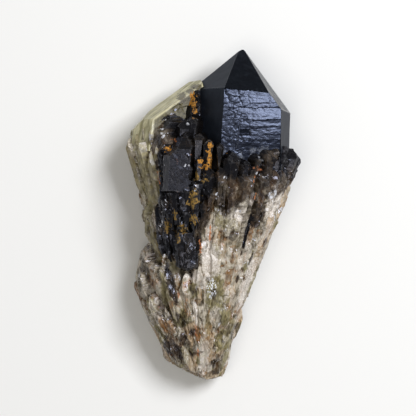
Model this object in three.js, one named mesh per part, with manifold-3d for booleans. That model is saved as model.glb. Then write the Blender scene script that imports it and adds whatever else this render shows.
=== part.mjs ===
// A smoky quartz crystal: a large pointed head, a paler side crystal grown parallel to it, a crown of
// small dark crystals around the head's foot, and a root of fused columns that narrows to a broken end.
// All of it has grown together into one solid. Lengths are in millimetres.
// It lies on its back on z = 0, with the point along +Y and the front facing +Z.
import * as THREE from "three";
import { ConvexGeometry } from "three/addons/geometries/ConvexGeometry.js";
import { mergeVertices } from "three/addons/utils/BufferGeometryUtils.js";
import Module from "manifold-3d";

const wasm = await Module();
wasm.setup();

// The head's long axis, and the way its front prism face looks.
const headAxis = new THREE.Vector3(0.077, 0.9955, -0.055).normalize();
const headFront = new THREE.Vector3(0.217, 0.037, 0.975);

// The end faces of quartz lean this many degrees from the long axis.
const endFaceLean = 38.2;

// The columns fan out from this point, a little below the broken end.
const rootPoint = new THREE.Vector3(-3.6, -63, 7);

// The root's outline from the broken end up: y, left x, right x, front z.
const rootOutline = [
  [-55, -5, 1, 9],
  [-48, -15.4, 5.2, 15.5],
  [-38, -20, 7.6, 21],
  [-28, -24.2, 10.4, 25],
  [-22, -25.9, 12.9, 27],
  [-15, -24.3, 15.4, 28.5],
  [-8, -22.8, 17.9, 29],
  [5, -24, 24, 31],
  [13, -26.5, 27.3, 31.5],
  [22, -28.5, 28, 31.5],
  [34, -24, 27, 30],
];

// The widest part of the root lies at this share of its depth.
const widestDepth = 0.45;

// Each face is its turn about the axis from the front, its lean, and its distance from the tip.
const head = {
  tip: [10.7, 54.75, 15],
  length: 42,
  faces: [
    [0, 38.2, 0],
    [60, 38.2, 0],
    [119, 36, 0],
    [180, 38.2, 0.5],
    [239, 44.4, 1],
    [300, 38.2, 1.4],
    [0, 0, 11.4],
    [60, 3, 14.2],
    [120, 0.5, 13.6],
    [180, 0, 13],
    [240, 0, 17],
    [300, -0.9, 13.2],
  ],
};

const sideCrystal = {
  tip: [-1, 49.1, 12],
  length: 30,
  faces: [
    [300, 45, 0.5],
    [240, 45, 0.5],
    [270, 80, -3.9],
    [270, 35.2, 6.6],
    [0, 38.2, 9],
    [180, 38.2, 8],
    [270, 0, 24.1],
    [300, 0, 20.1],
    [240, 0, 24.8],
    [0, -2, 7.3],
    [180, 0, 15.4],
    [60, 0, 10],
    [120, 0, 10],
  ],
};

const blackBlock = {
  tip: [-8.6, 26.4, 27.6],
  length: 19,
  axis: new THREE.Vector3(0.06, 0.988, 0).normalize(),
  faces: [
    [0, 38.2, 0],
    [60, 38.2, 0],
    [120, 38.2, 0.5],
    [180, 38.2, 1],
    [240, 38.2, 2],
    [300, 38.2, 0.6],
    [0, 0, 3.9],
    [60, 0, 3.2],
    [120, 0, 2.4],
    [180, 0, 9],
    [240, 0, 6],
    [300, 0, 6.6],
  ],
};

// Columns in front: tip x, tip y, half width, foot y, how far it stands proud, share of the fan's lean.
const crownColumns = [
  [-4.5, 27.1, 2.1, 14.4, -1, 0.1],
  [-1.3, 25.1, 1.7, 13.1, 1, 0.1],
  [-4.3, 19.4, 1.5, 11.1, 1.8, 0.1],
  [-7, 32.8, 2, 21.8, -2.5, 0.1],
  [-9.6, 31.1, 2.2, 18.4, -2, 0.2],
  [6.4, 20.8, 2.7, 8.4, 1.3, 0.2],
  [3, 15.8, 2.3, 3.1, 1.2, 0.3],
  [10.7, 20.4, 2.3, 8.4, 0.2, 0.2],
  [14.4, 21.8, 2.2, 8.4, -0.2, 0.2],
  [18.4, 22.8, 2.6, 6.4, 0.1, 0.1],
  [26.2, 22.1, 2.8, 6.4, 1.5, 0.5],
  [28.2, 19.6, 1.6, 5.1, 0, 1],
  [22.7, 20.8, 1.8, 5.1, 1, 0.5],
  [11, 15.8, 3.4, 3.1, 1.4, 0.3],
  [-12.6, 12.4, 2.6, 0.4, 1.4, 0.4],
  [-17, 21.8, 1.5, 5.1, 0.3, 0.5],
  [-15, 19.8, 1.5, 1.8, 0.3, 0.4],
  [-1.3, 15.8, 2.4, -3.6, 0.9, 0.5],
  [6.7, 11.8, 2.2, -6.9, 0.8, 0.6],
  [16.4, 14.4, 2.6, -1.6, 1.2, 0.4],
  [20.4, 15.1, 2.4, -4.9, 1, 0.7],
  [23.4, 14.4, 2, -3.6, 1, 0.9],
  [-15.6, 8.4, 2.8, -6.9, 1.2, 0.6],
  [-8.6, 10.4, 2.2, -0.2, 1.6, 0.4],
  [-5.3, 13.1, 2.2, -5.6, 1, 0.4],
];

// The long ribs on the left: tip x, tip y, half width, foot y.
const leftRibs = [
  [-27.8, 25.9, 1.9, 3.1],
  [-24.8, 23.1, 1.5, -6.9],
  [-22.6, 26.1, 1.6, -11.6],
  [-20.6, 21.4, 1.6, -9.9],
  [-18.6, 23.1, 1.3, 0.4],
  [-22.6, 3.4, 1.7, -15.6],
  [-20.8, 0.4, 1.8, -20.2],
  [-23.8, 14.4, 1.4, -5.6],
  [-22.8, -0.9, 1.3, -15.6],
];

// The dark columns below the crown: tip x, tip y, half width, foot y.
const darkColumns = [
  [-19, 3.1, 2, -15.6],
  [-17.3, -0.9, 2, -16.2],
  [-13.6, 3.8, 1.9, -10.2],
  [-10.3, 2.8, 1.9, -11.6],
  [-7.3, 5.1, 1.8, -10.2],
  [-8, -5.9, 4, -19.9],
  [-14.3, -4.6, 2, -24.9],
  [-4.6, 1.8, 1.9, -15.6],
];

// The pale splintered columns of the root: tip x, tip y, half width, foot y, lean of the end faces.
const paleColumns = [
  [-1.6, 5.8, 2.2, -24.9, 27],
  [1.7, 7.8, 2.5, -31.6, 19],
  [5, 4.1, 2.2, -28.2, 24],
  [8.4, 5.4, 2.5, -34.9, 16],
  [14, 6.4, 2.2, -38.2, 20],
  [17, 8.4, 2.3, -31.6, 25],
  [20, 5.1, 2.1, -28.2, 17],
  [22.4, 8.4, 1.6, -22.2, 21],
  [25, 11.8, 1.6, -11.6, 26],
  [-2.3, -4.2, 3, -41.6, 18],
  [1.4, -8.2, 2.6, -44.9, 23],
  [5.4, -5.2, 2.8, -44.9, 15],
  [9, -10.2, 2.6, -43.2, 20],
  [12.4, -5.9, 2.2, -38.2, 24],
  [15.4, -2.2, 1.9, -31.6, 17],
  [18.4, 0.4, 1.6, -24.9, 22],
  [-22.3, -11.2, 2.4, -38.2, 26],
  [-19.6, -15.6, 2.4, -43.2, 18],
  [-16.6, -13.2, 2.4, -44.9, 23],
  [-24.3, -18.9, 1.9, -36.9, 16],
  [-13.3, -23.6, 1.8, -44.9, 20],
  [-9, -18.6, 3.2, -52.2, 25],
  [-5.3, -23.2, 2.4, -53.6, 17],
  [-1.3, -17.6, 3.2, -52.9, 22],
  [2.7, -25.6, 2.6, -50.9, 26],
  [6.4, -20.2, 2.2, -47.6, 19],
  [9.7, -15.6, 2, -43.2, 23],
  [12.4, -14.2, 1.5, -32.2, 16],
  [-12.3, -34.2, 2.2, -50.9, 21],
  [-8.6, -28.9, 2.2, -52.2, 25],
  [-4, -36.6, 1.8, -54.6, 17],
  [-0.6, -30.2, 1.9, -54.9, 22],
  [3, -38.2, 2.2, -53.2, 27],
  [6.4, -30.9, 1.8, -46.9, 19],
  [-21, -25.6, 2, -43.2, 24],
  [-18.6, -36.2, 2, -47.6, 16],
  [-15.6, -30.2, 2.2, -50.2, 20],
  [-14, -40.9, 2, -52.2, 25],
];

// Fused lumps that the columns stand on: outline, back z, front z, back bevel, front bevel, front's lean.
const lumps = {
  leftCore: {
    outline: [
      [-26.3, 26.4],
      [-27.3, 21.8],
      [-24.3, 11.8],
      [-21.6, 1.1],
      [-20.3, -8.2],
      [-11, -8.2],
      [-11, 26.4],
    ],
    back: 1.5,
    front: 22.5,
    backBevel: 7,
    frontBevel: 6,
    lean: [-0.25, 0],
  },
  hump: {
    outline: [
      [-20.3, 15.8],
      [-13.6, 14.4],
      [-10.3, 21.8],
      [-11.6, 31.8],
      [-14, 34.6],
      [-17, 33.1],
      [-21, 28.8],
      [-22, 23.1],
    ],
    back: 10,
    front: 27.6,
    backBevel: 3,
    frontBevel: 5,
    lean: [-0.12, 0.12],
  },
  humpShoulder: {
    outline: [
      [-22.3, 11.8],
      [-9, 11.8],
      [-7.6, 25.1],
      [-13.6, 29.8],
      [-19, 31.4],
      [-23.6, 27.1],
      [-25, 21.8],
    ],
    back: 8,
    front: 26.2,
    backBevel: 3,
    frontBevel: 5,
    lean: [-0.25, 0.06],
  },
  upperCore: {
    outline: [
      [-18.3, 21.8],
      [-20.3, 8.4],
      [-18.3, -8.2],
      [-7.6, -28.2],
      [9, -18.2],
      [18.4, 0.1],
      [23.7, 14.4],
      [21, 21.8],
    ],
    back: 2.5,
    front: 24.5,
    backBevel: 8,
    frontBevel: 7,
    lean: [0, -0.05],
  },
  lowerCore: {
    outline: [
      [-18.3, -3.2],
      [-20.3, -15.6],
      [-17.6, -26.9],
      [-11, -43.2],
      [-7.6, -50.2],
      [2.4, -50.2],
      [5.7, -39.9],
      [15, -3.2],
    ],
    back: 2.5,
    front: 17.5,
    backBevel: 6,
    frontBevel: 6,
    lean: [0, -0.16],
  },
  rightWing: {
    outline: [
      [16.4, 18.4],
      [6.4, -8.2],
      [4.4, -38.2],
      [7.7, -35.6],
      [10.4, -24.2],
      [15.3, -10.9],
      [21.4, 3.1],
      [27, 14.8],
      [28, 18.4],
      [24.4, 19.8],
    ],
    back: 6,
    front: 17,
    backBevel: 5,
    frontBevel: 5,
    lean: [0.1, -0.15],
  },
  lobe: {
    outline: [
      [-22, -9.9],
      [-24, -12.2],
      [-26, -21.6],
      [-26.5, -25.2],
      [-21.2, -36.9],
      [-15.8, -48.2],
      [-11, -45.6],
      [-10.3, -15.6],
    ],
    back: 2,
    front: 18,
    backBevel: 7,
    frontBevel: 7,
    lean: [-0.15, -0.15],
  },
  foot: {
    outline: [
      [-14.3, -45.6],
      [-16, -48.6],
      [-13.3, -50.6],
      [-9, -52.6],
      [-3.6, -54.8],
      [-0.3, -55.2],
      [3, -54.2],
      [5, -50.2],
      [5.7, -44.9],
      [3, -38.2],
      [-11, -38.2],
    ],
    back: 2,
    front: 13,
    backBevel: 4,
    frontBevel: 4,
    lean: [0, -0.1],
  },
  footCorner: {
    outline: [
      [2.7, -46.9],
      [2, -54.2],
      [4.9, -53.9],
      [5.2, -51.2],
      [5.8, -47.6],
      [7.6, -44.9],
      [8, -39.6],
      [4.4, -39.6],
    ],
    back: 3,
    front: 14,
    backBevel: 2,
    frontBevel: 2,
    lean: [0, 0],
  },
};

// The columns of the sides and back, from the crown down to the root.
const backColumns = {
  count: 54,
  top: 27,
  drop: 70,
  leastWidth: 2.2,
  addedWidth: 1.8,
  leastLength: 30,
  addedLength: 14,
  lowestFoot: -55,
  sharpAbove: 8,
  splinterLean: 22,
};

// Where the root broke off: normals, and distances from the origin.
const breakFaces = [
  [[-0.444, -0.888, 0.119], 51.04],
  [[-0.174, -0.98, -0.1], 53.31],
  [[0.262, -0.954, 0.148], 53.58],
];

const quartz = new THREE.MeshStandardMaterial({
  name: "smoky_quartz",
  color: 0x4a453d,
  roughness: 0.12,
  metalness: 0,
});

const radians = THREE.MathUtils.degToRad;
const fraction = (value) => value - Math.floor(value);

// The right, long and front directions of a crystal, turned from the head's by as little as its axis asks.
function crystalFrame(axis, roll = 0) {
  const front = headFront.clone().addScaledVector(axis, -headFront.dot(axis)).normalize();
  const right = new THREE.Vector3().crossVectors(axis, front);
  return {
    right: right.applyAxisAngle(axis, radians(roll)),
    axis,
    front: front.applyAxisAngle(axis, radians(roll)),
  };
}

function faceNormal(frame, turn, lean) {
  const around = radians(turn);
  const up = radians(lean);
  return new THREE.Vector3()
    .addScaledVector(frame.right, Math.sin(around) * Math.cos(up))
    .addScaledVector(frame.axis, Math.sin(up))
    .addScaledVector(frame.front, Math.cos(around) * Math.cos(up));
}

function planeAt(normal, point, distance = 0) {
  return { normal, offset: normal.dot(point) + distance };
}

// The point where three planes meet, or null where two of them are parallel.
function meetingPoint(a, b, c) {
  const bc = new THREE.Vector3().crossVectors(b.normal, c.normal);
  const volume = a.normal.dot(bc);
  if (Math.abs(volume) < 1e-6) return null;
  return bc
    .multiplyScalar(a.offset)
    .addScaledVector(new THREE.Vector3().crossVectors(c.normal, a.normal), b.offset)
    .addScaledVector(new THREE.Vector3().crossVectors(a.normal, b.normal), c.offset)
    .divideScalar(volume);
}

// The corners of the convex body that lies behind all of the planes.
function cornersOf(planes) {
  const corners = new Map();
  for (let i = 0; i < planes.length; i++)
    for (let j = i + 1; j < planes.length; j++)
      for (let k = j + 1; k < planes.length; k++) {
        const point = meetingPoint(planes[i], planes[j], planes[k]);
        if (!point) continue;
        if (planes.some((plane) => plane.normal.dot(point) > plane.offset + 1e-6)) continue;
        corners.set(point.toArray().map((value) => value.toFixed(3)).join(), point);
      }
  return [...corners.values()];
}

function toSolid(geometry) {
  geometry.deleteAttribute("normal");
  geometry.deleteAttribute("uv");
  const merged = mergeVertices(geometry, 1e-4);
  return new wasm.Manifold(
    new wasm.Mesh({
      numProp: 3,
      vertProperties: merged.attributes.position.array,
      triVerts: new Uint32Array(merged.index.array),
    }),
  );
}

function toGeometry(solid) {
  const mesh = solid.getMesh();
  const position = new Float32Array(mesh.numVert * 3);
  for (let i = 0; i < mesh.numVert; i++) {
    const start = i * mesh.numProp;
    position.set(mesh.vertProperties.subarray(start, start + 3), i * 3);
  }
  const geometry = new THREE.BufferGeometry();
  geometry.setAttribute("position", new THREE.BufferAttribute(position, 3));
  geometry.setIndex(new THREE.BufferAttribute(mesh.triVerts, 1));
  geometry.computeVertexNormals();
  return geometry;
}

const convexSolid = (planes) => toSolid(new ConvexGeometry(cornersOf(planes)));

// A crystal whose faces are all listed.
function facedCrystal({ tip, length, faces, axis = headAxis }) {
  const frame = crystalFrame(axis);
  const top = new THREE.Vector3(...tip);
  const planes = faces.map(([turn, lean, distance]) =>
    planeAt(faceNormal(frame, turn, lean), top, distance),
  );
  planes.push(planeAt(axis.clone().negate(), top, length));
  return convexSolid(planes);
}

// The root's middle, half width and front at a height.
function rootAt(y) {
  const next = rootOutline.findIndex((row) => row[0] >= y);
  const above = rootOutline[next < 0 ? rootOutline.length - 1 : Math.max(next, 1)];
  const below = rootOutline[rootOutline.indexOf(above) - 1];
  const share = THREE.MathUtils.clamp((y - below[0]) / (above[0] - below[0]), 0, 1);
  const [, left, right, front] = above.map((value, i) => below[i] + (value - below[i]) * share);
  return { middle: (left + right) / 2, half: (right - left) / 2, front };
}

// How far forward a column's tip stands, so that its front face lies on the root's rounded front.
function depthOnFront(x, y, width, proud) {
  const { middle, half, front } = rootAt(y);
  const across = THREE.MathUtils.clamp((x - middle) / half, -0.97, 0.97);
  const widest = widestDepth * front;
  return widest + (front - widest) * Math.sqrt(1 - across * across) - (width - proud);
}

// A six-sided column that narrows towards its foot, with the end faces of a crystal or a splinter.
function column({ tip, width, foot, fanShare = 1, endLean = endFaceLean, narrowing = 0.45, roll = 0 }) {
  const fan = tip.clone().sub(rootPoint).normalize();
  const axis = headAxis.clone().multiplyScalar(1 - fanShare).addScaledVector(fan, fanShare).normalize();
  const frame = crystalFrame(axis, roll);
  const length = (tip.y - foot) / axis.y;
  const inward = -THREE.MathUtils.radToDeg(Math.atan((width * narrowing) / length));
  const shoulder = tip.clone().addScaledVector(axis, -width / Math.tan(radians(endLean)));
  const planes = [];
  for (let side = 0; side < 6; side++) {
    const cut = side % 2 ? 0.25 * width : 0;
    planes.push(planeAt(faceNormal(frame, 60 * side, endLean), tip, cut));
    planes.push(planeAt(faceNormal(frame, 60 * side, inward), shoulder, width));
  }
  planes.push(planeAt(axis.clone().negate(), tip, length));
  return convexSolid(planes);
}

function frontColumn([x, y, width, foot], { proud = 0, ...shape } = {}) {
  const tip = new THREE.Vector3(x, y, depthOnFront(x, y, width, proud));
  return column({ tip, width, foot, ...shape });
}

// The columns of the sides and back, spread by the golden ratio.
function backColumn(index) {
  const set = backColumns;
  const y = set.top - (set.drop * index) / set.count;
  const { middle, half, front } = rootAt(y);
  const around = radians(172 + 196 * fraction(index * 0.618 + 0.15));
  const width = set.leastWidth + set.addedWidth * fraction(index * 0.7548);
  const widest = widestDepth * front;
  const reach = half - width * 0.8 - (Math.cos(around) > 0 ? 1 : 0);
  const x = middle + reach * Math.cos(around);
  const z = Math.max(widest + (widest - width * 0.6) * Math.sin(around), width * 0.4);
  const foot = Math.max(y - set.leastLength - set.addedLength * fraction(index * 0.5698), set.lowestFoot);
  return column({
    tip: new THREE.Vector3(x, y, z),
    width,
    foot,
    endLean: y > set.sharpAbove ? endFaceLean : set.splinterLean,
    narrowing: 0.4,
    roll: 24 * fraction(index * 0.37) - 12,
  });
}

// A lump with bevelled rims. Its outline runs anticlockwise as the front is seen.
function lump({ outline, back, front, backBevel, frontBevel, lean }) {
  const frontNormal = new THREE.Vector3(lean[0], lean[1], 1).normalize();
  const backNormal = new THREE.Vector3(0, 0, -1);
  const centre = [0, 1].map((k) => outline.reduce((sum, point) => sum + point[k], 0) / outline.length);
  const frontAt = (x, y) => front - lean[0] * (x - centre[0]) - lean[1] * (y - centre[1]);
  const planes = outline.flatMap(([ax, ay], i) => {
    const [bx, by] = outline[(i + 1) % outline.length];
    const side = new THREE.Vector3(by - ay, ax - bx, 0).normalize();
    const x = (ax + bx) / 2;
    const y = (ay + by) / 2;
    const rim = new THREE.Vector3(x, y, frontAt(x, y));
    const heel = new THREE.Vector3(x, y, back);
    return [
      planeAt(side, rim),
      planeAt(side.clone().add(frontNormal).normalize(), rim, -frontBevel * Math.SQRT1_2),
      planeAt(side.clone().add(backNormal).normalize(), heel, -backBevel * Math.SQRT1_2),
    ];
  });
  planes.push(planeAt(frontNormal, new THREE.Vector3(...centre, front)));
  planes.push({ normal: backNormal, offset: -back });
  return convexSolid(planes);
}

// Everything above the floor and above the broken end.
function boundsSolid() {
  const farSides = [
    [1, 0, 0],
    [-1, 0, 0],
    [0, 1, 0],
    [0, 0, 1],
  ];
  const planes = farSides.map((side) => ({ normal: new THREE.Vector3(...side), offset: 100 }));
  planes.push({ normal: new THREE.Vector3(0, 0, -1), offset: 0 });
  for (const [normal, offset] of breakFaces)
    planes.push({ normal: new THREE.Vector3(...normal).normalize(), offset });
  return convexSolid(planes);
}

// The outer body, without the gaps shut in between its columns.
function withoutGaps(solid) {
  return solid.decompose().reduce((most, body) => (body.volume() > most.volume() ? body : most));
}

const solids = [
  facedCrystal(head),
  facedCrystal(sideCrystal),
  facedCrystal(blackBlock),
  ...Object.values(lumps).map(lump),
  ...crownColumns.map((row) => frontColumn(row, { proud: row[4], fanShare: row[5] })),
  ...leftRibs.map((row) => frontColumn(row, { narrowing: 0.3 })),
  ...darkColumns.map((row) => frontColumn(row, { endLean: 30 })),
  ...paleColumns.map((row) => frontColumn(row, { endLean: row[4] })),
  ...Array.from({ length: backColumns.count }, (_, index) => backColumn(index)),
];
const grownTogether = solids.reduce((whole, solid) => whole.add(solid));
const crystal = new THREE.Mesh(toGeometry(withoutGaps(grownTogether.intersect(boundsSolid()))), quartz);
crystal.name = "smoky_quartz_crystal";

const group = new THREE.Group();
group.name = "smoky_quartz";
group.add(crystal);
export default group;
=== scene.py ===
import math

import bpy
import numpy as np
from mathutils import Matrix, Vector


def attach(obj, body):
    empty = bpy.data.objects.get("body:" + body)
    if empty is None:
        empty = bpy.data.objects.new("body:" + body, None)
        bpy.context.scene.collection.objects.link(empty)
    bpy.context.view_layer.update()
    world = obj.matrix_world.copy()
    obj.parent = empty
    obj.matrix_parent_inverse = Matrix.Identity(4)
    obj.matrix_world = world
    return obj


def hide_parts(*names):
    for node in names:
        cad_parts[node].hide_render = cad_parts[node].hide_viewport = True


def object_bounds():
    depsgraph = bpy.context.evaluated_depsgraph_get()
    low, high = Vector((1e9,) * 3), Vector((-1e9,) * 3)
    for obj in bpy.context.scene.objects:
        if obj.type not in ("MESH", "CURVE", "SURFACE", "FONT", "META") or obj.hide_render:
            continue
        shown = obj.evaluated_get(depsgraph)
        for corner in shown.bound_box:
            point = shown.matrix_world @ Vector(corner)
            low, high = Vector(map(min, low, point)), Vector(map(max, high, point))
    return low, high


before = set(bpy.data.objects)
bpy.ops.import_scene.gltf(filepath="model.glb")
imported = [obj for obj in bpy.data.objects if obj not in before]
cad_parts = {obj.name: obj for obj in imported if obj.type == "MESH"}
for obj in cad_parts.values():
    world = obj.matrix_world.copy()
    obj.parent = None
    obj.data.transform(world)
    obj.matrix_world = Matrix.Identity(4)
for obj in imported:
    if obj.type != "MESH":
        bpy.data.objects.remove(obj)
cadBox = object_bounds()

# A smoky quartz cluster on its back. The shapes are worked out in millimetres: x right, y towards the
# point, z up. They are turned to metres when a mesh is made.
millimetre = 0.001
print("solids read")

# The lattice that all of the crystals share, and how the root's columns fan out
lattice = {
    "headAxis": (0.077, 0.9955, -0.055),     # the head's long axis
    "headFront": (0.217, 0.037, 0.975),      # the way its front prism face looks
    "endFaceLean": 38.2,                     # degrees between quartz's end faces and the long axis
    "rootPoint": (-3.6, -63.0, 7.0),         # the columns meet here, below the broken end
    "widestDepth": 0.45,                     # share of the root's depth where it is widest
    "fanRadius": 60,                         # the fan is measured where it crosses this sphere
    "fanNearest": 28,                        # nearer the root point than this it stops narrowing
    # the root's outline from the broken end up: y, left x, right x, front z
    "outline": np.array([
        (-55, -5, 1, 9), (-48, -15.4, 5.2, 15.5), (-38, -20, 7.6, 21), (-28, -24.2, 10.4, 25),
        (-22, -25.9, 12.9, 27), (-15, -24.3, 15.4, 28.5), (-8, -22.8, 17.9, 29), (5, -24, 24, 31),
        (13, -26.5, 27.3, 31.5), (22, -28.5, 28, 31.5), (34, -24, 27, 30)]),
    # the floor, and the faces where the root broke off: normal, distance from the origin
    "cuts": [((0, 0, -1), 0.0), ((-0.444, -0.888, 0.119), 51.04), ((-0.174, -0.98, -0.1), 53.31),
             ((0.262, -0.954, 0.148), 53.58)],
}


# Convex crystals as sets of planes: each has its normals, offsets, tip, kind and extent along y


def unit(v):
    # a vector, or each row of an array, divided by its length
    v = np.asarray(v, float)
    return v / np.linalg.norm(v, axis=-1, keepdims=True)


def crystalFrame(axis, roll=0.0):
    # rows: right, long axis, front; turned from the head's by as little as the axis asks, then rolled
    axis = unit(axis)
    front = np.array(lattice["headFront"], float)
    front = unit(front - (front @ axis) * axis)
    right = np.cross(axis, front)
    turn = math.radians(roll)
    return np.stack([right * math.cos(turn) - front * math.sin(turn), axis,
                     right * math.sin(turn) + front * math.cos(turn)])


def faceNormal(rows, turn, lean):
    # the front turned about the long axis, then leaned up towards it
    around, up = math.radians(turn), math.radians(lean)
    return np.array([math.sin(around) * math.cos(up), math.sin(up), math.cos(around) * math.cos(up)]) @ rows


def asCrystal(planes, tip, kind, span):
    # closes the set with the floor and the broken end; span is its lowest and highest y
    normals = np.array([n for n, _ in planes] + [unit(n) for n, _ in lattice["cuts"]])
    offsets = np.array([d for _, d in planes] + [d for _, d in lattice["cuts"]])
    tip = np.asarray(tip, float)
    return {"normals": normals, "offsets": offsets, "tip": tip, "kind": kind, "span": span}


def facedCrystal(shape, kind):
    # each face is its turn about the axis from the front, its lean, and its distance from the tip
    axis = unit(shape.get("axis", lattice["headAxis"]))
    rows = crystalFrame(axis, shape.get("roll", 0))
    tip = np.array(shape["tip"], float)
    planes = []
    for turn, lean, distance in shape["faces"]:
        normal = faceNormal(rows, turn, lean)
        planes.append((normal, normal @ tip + distance))
    planes.append((-axis, -axis @ tip + shape["length"]))
    return asCrystal(planes, tip, kind, (tip[1] - shape["length"] - 3, tip[1] + 1))


def rootAt(y):
    # the root's middle, half width and front at a height, between the rows of its outline
    rows = lattice["outline"]
    left, right, front = (np.interp(y, rows[:, 0], rows[:, k]) for k in (1, 2, 3))
    return (left + right) / 2, (right - left) / 2, front


# Noise worked out from whole arrays of points


def hashed(ix, iy, iz, seed):
    # a fixed pseudo-random number from 0 to 1 for each whole-numbered place
    n = (ix.astype(np.int64) * 374761393 + iy.astype(np.int64) * 668265263
         + iz.astype(np.int64) * 2246822519 + seed * 3266489917) & 0xFFFFFFFF
    n = ((n ^ (n >> 15)) * 2246822519) & 0xFFFFFFFF
    n = ((n ^ (n >> 13)) * 3266489917) & 0xFFFFFFFF
    return ((n ^ (n >> 16)) & 0xFFFFFFFF) / 4294967295.0


def smoothNoise(points, seed):
    # values hashed at the corners of a unit lattice, eased between them; from -1 to 1
    base = np.floor(points)
    f = points - base
    f = f * f * (3 - 2 * f)
    base = base.astype(np.int64)
    total = np.zeros(len(points))
    for corner in np.ndindex(2, 2, 2):
        total += np.where(corner, f, 1 - f).prod(1) * hashed(*(base + corner).T, seed)
    return 2 * total - 1


def layeredNoise(points, seed, layers=3):
    # octaves of the noise above, each twice as fine and half as strong
    total, reach = np.zeros(len(points)), 0.0
    for layer in range(layers):
        total += smoothNoise(points * 2.0 ** layer, seed + layer) * 0.5 ** layer
        reach += 0.5 ** layer
    return total / reach


def chips(points, seed):
    # random cells, each a small tilted plane: its own height plus its slope times the offset from its seed
    base = np.floor(points).astype(np.int64)
    nearest = np.full(len(points), 1e9)
    offset = np.zeros_like(points)
    traits = np.zeros((len(points), 4))
    for neighbour in np.ndindex(3, 3, 3):
        cell = base + neighbour - 1
        away = points - (cell + np.stack([hashed(*cell.T, seed + k) for k in range(3)], 1))
        distance = (away ** 2).sum(1)
        closer = distance < nearest
        nearest = np.where(closer, distance, nearest)
        offset[closer] = away[closer]
        traits[closer] = np.stack([hashed(*cell[closer].T, seed + 7 + k) for k in range(4)], 1)
    slope = (traits[:, :3] - 0.5) * 2
    return traits[:, 3] - 0.5 + (slope * offset).sum(1), traits


def smoothStep(low, high, value):
    # 0 below low, 1 above high, eased between them by 3t^2 - 2t^3
    t = np.clip((value - low) / (high - low), 0, 1)
    return t * t * (3 - 2 * t)


# A closed surface round a spine


def raySurface(crystals, origins, directions):
    # distance along each ray to where it last leaves any crystal, with that face's normal and the crystal.
    # A ray meets a plane at its gap over its speed towards it. It leaves a crystal at the first plane that
    # it goes out through, and misses the crystal if it goes in through another later than that.
    longest, shortest, level, never = 60, 0.5, 1e-7, 1e9
    shape = origins.shape[:2]
    allOrigins, allDirections = origins.reshape(-1, 3), directions.reshape(-1, 3)
    farthest = np.full(len(allOrigins), float(shortest))
    normal, which = allDirections.copy(), np.zeros(len(allOrigins), int)
    # how much a ray from an end fan reaches along y
    rise = longest * allDirections[:, 1]
    lowest, highest = allOrigins[:, 1] + np.minimum(rise, 0), allOrigins[:, 1] + np.maximum(rise, 0)
    for index, crystal in enumerate(crystals):
        near = np.flatnonzero((highest >= crystal["span"][0]) & (lowest <= crystal["span"][1]))
        o, d, reach = allOrigins[near], allDirections[near], farthest[near]
        towards = d @ crystal["normals"].T
        gap = crystal["offsets"] - o @ crystal["normals"].T
        with np.errstate(divide="ignore", invalid="ignore"):
            t = gap / towards
        leave = np.where(towards > level, t, never)
        enter = np.where(towards < -level, t, -never).max(1)
        missed = ((np.abs(towards) <= level) & (gap < 0)).any(1)
        face = leave.argmin(1)
        leave = leave[np.arange(len(o)), face]
        hit = (leave > enter) & (leave > reach) & ~missed
        farthest[near[hit]] = leave[hit]
        normal[near[hit]] = crystal["normals"][face[hit]]
        which[near[hit]] = index
    return farthest.reshape(shape), normal.reshape(*shape, 3), which.reshape(shape)


def sharpCorners(points, normals, which, reach):
    # one point for each cell of the ray grid: the least-squares meeting point of the faces at its four
    # corners, pulled a little to their mean, so that flat faces stay flat and their edges stay sharp.
    # Where the depth jumps from one crystal to another far behind it, only the outer corners count.
    def corners(a):
        wrapped = np.roll(a, -1, axis=1)
        return np.stack([a[:-1], a[1:], wrapped[:-1], wrapped[1:]], axis=2)
    p, n, w, r = corners(points), corners(normals), corners(which), corners(reach)
    top = r.argmax(2)[..., None, None]
    away = p - np.take_along_axis(p, top, 2)
    gap = np.minimum(np.abs((away * np.take_along_axis(n, top, 2)).sum(-1)), np.abs((away * n).sum(-1)))
    gap[np.abs(n).sum(-1) < 0.5] = 9
    outer = ((r > r.max(2, keepdims=True) - 1.0) | (gap < 0.5)).astype(float)
    mean = (p * outer[..., None]).sum(2) / outer.sum(2)[..., None]
    n = n * outer[..., None]
    pull = 0.05
    square = np.einsum("ijka,ijkb->ijab", n, n) + pull * np.eye(3)
    right = np.einsum("ijka,ijk->ija", n, ((p - mean[:, :, None]) * n).sum(-1))
    step = np.linalg.solve(square, right[..., None])[..., 0]
    size = (np.linalg.norm(p - mean[:, :, None], axis=-1) * outer).max(2) * 1.2 + 1e-6
    length = np.linalg.norm(step, axis=-1)
    step *= np.minimum(1, size / np.maximum(length, 1e-9))[..., None]
    return mean + step, unit(n.sum(2) + 1e-9), np.take_along_axis(w, top[..., 0], 2)[..., 0]


def evenTurns(count, wide, deep, closer):
    # angles whose rays meet an ellipse at even steps of its arc length, closer together on the front
    t = np.linspace(0, 2 * math.pi, 4001)
    x, z = wide * np.cos(t), deep * np.sin(t)
    step = np.hypot(np.diff(x), np.diff(z)) * np.where(z[1:] > 0, closer, 1)
    along = np.concatenate([[0], np.cumsum(step)])
    spot = np.interp(np.linspace(0, along[-1], count, endpoint=False), along, t)
    return np.arctan2(deep * np.sin(spot), wide * np.cos(spot))


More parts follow.
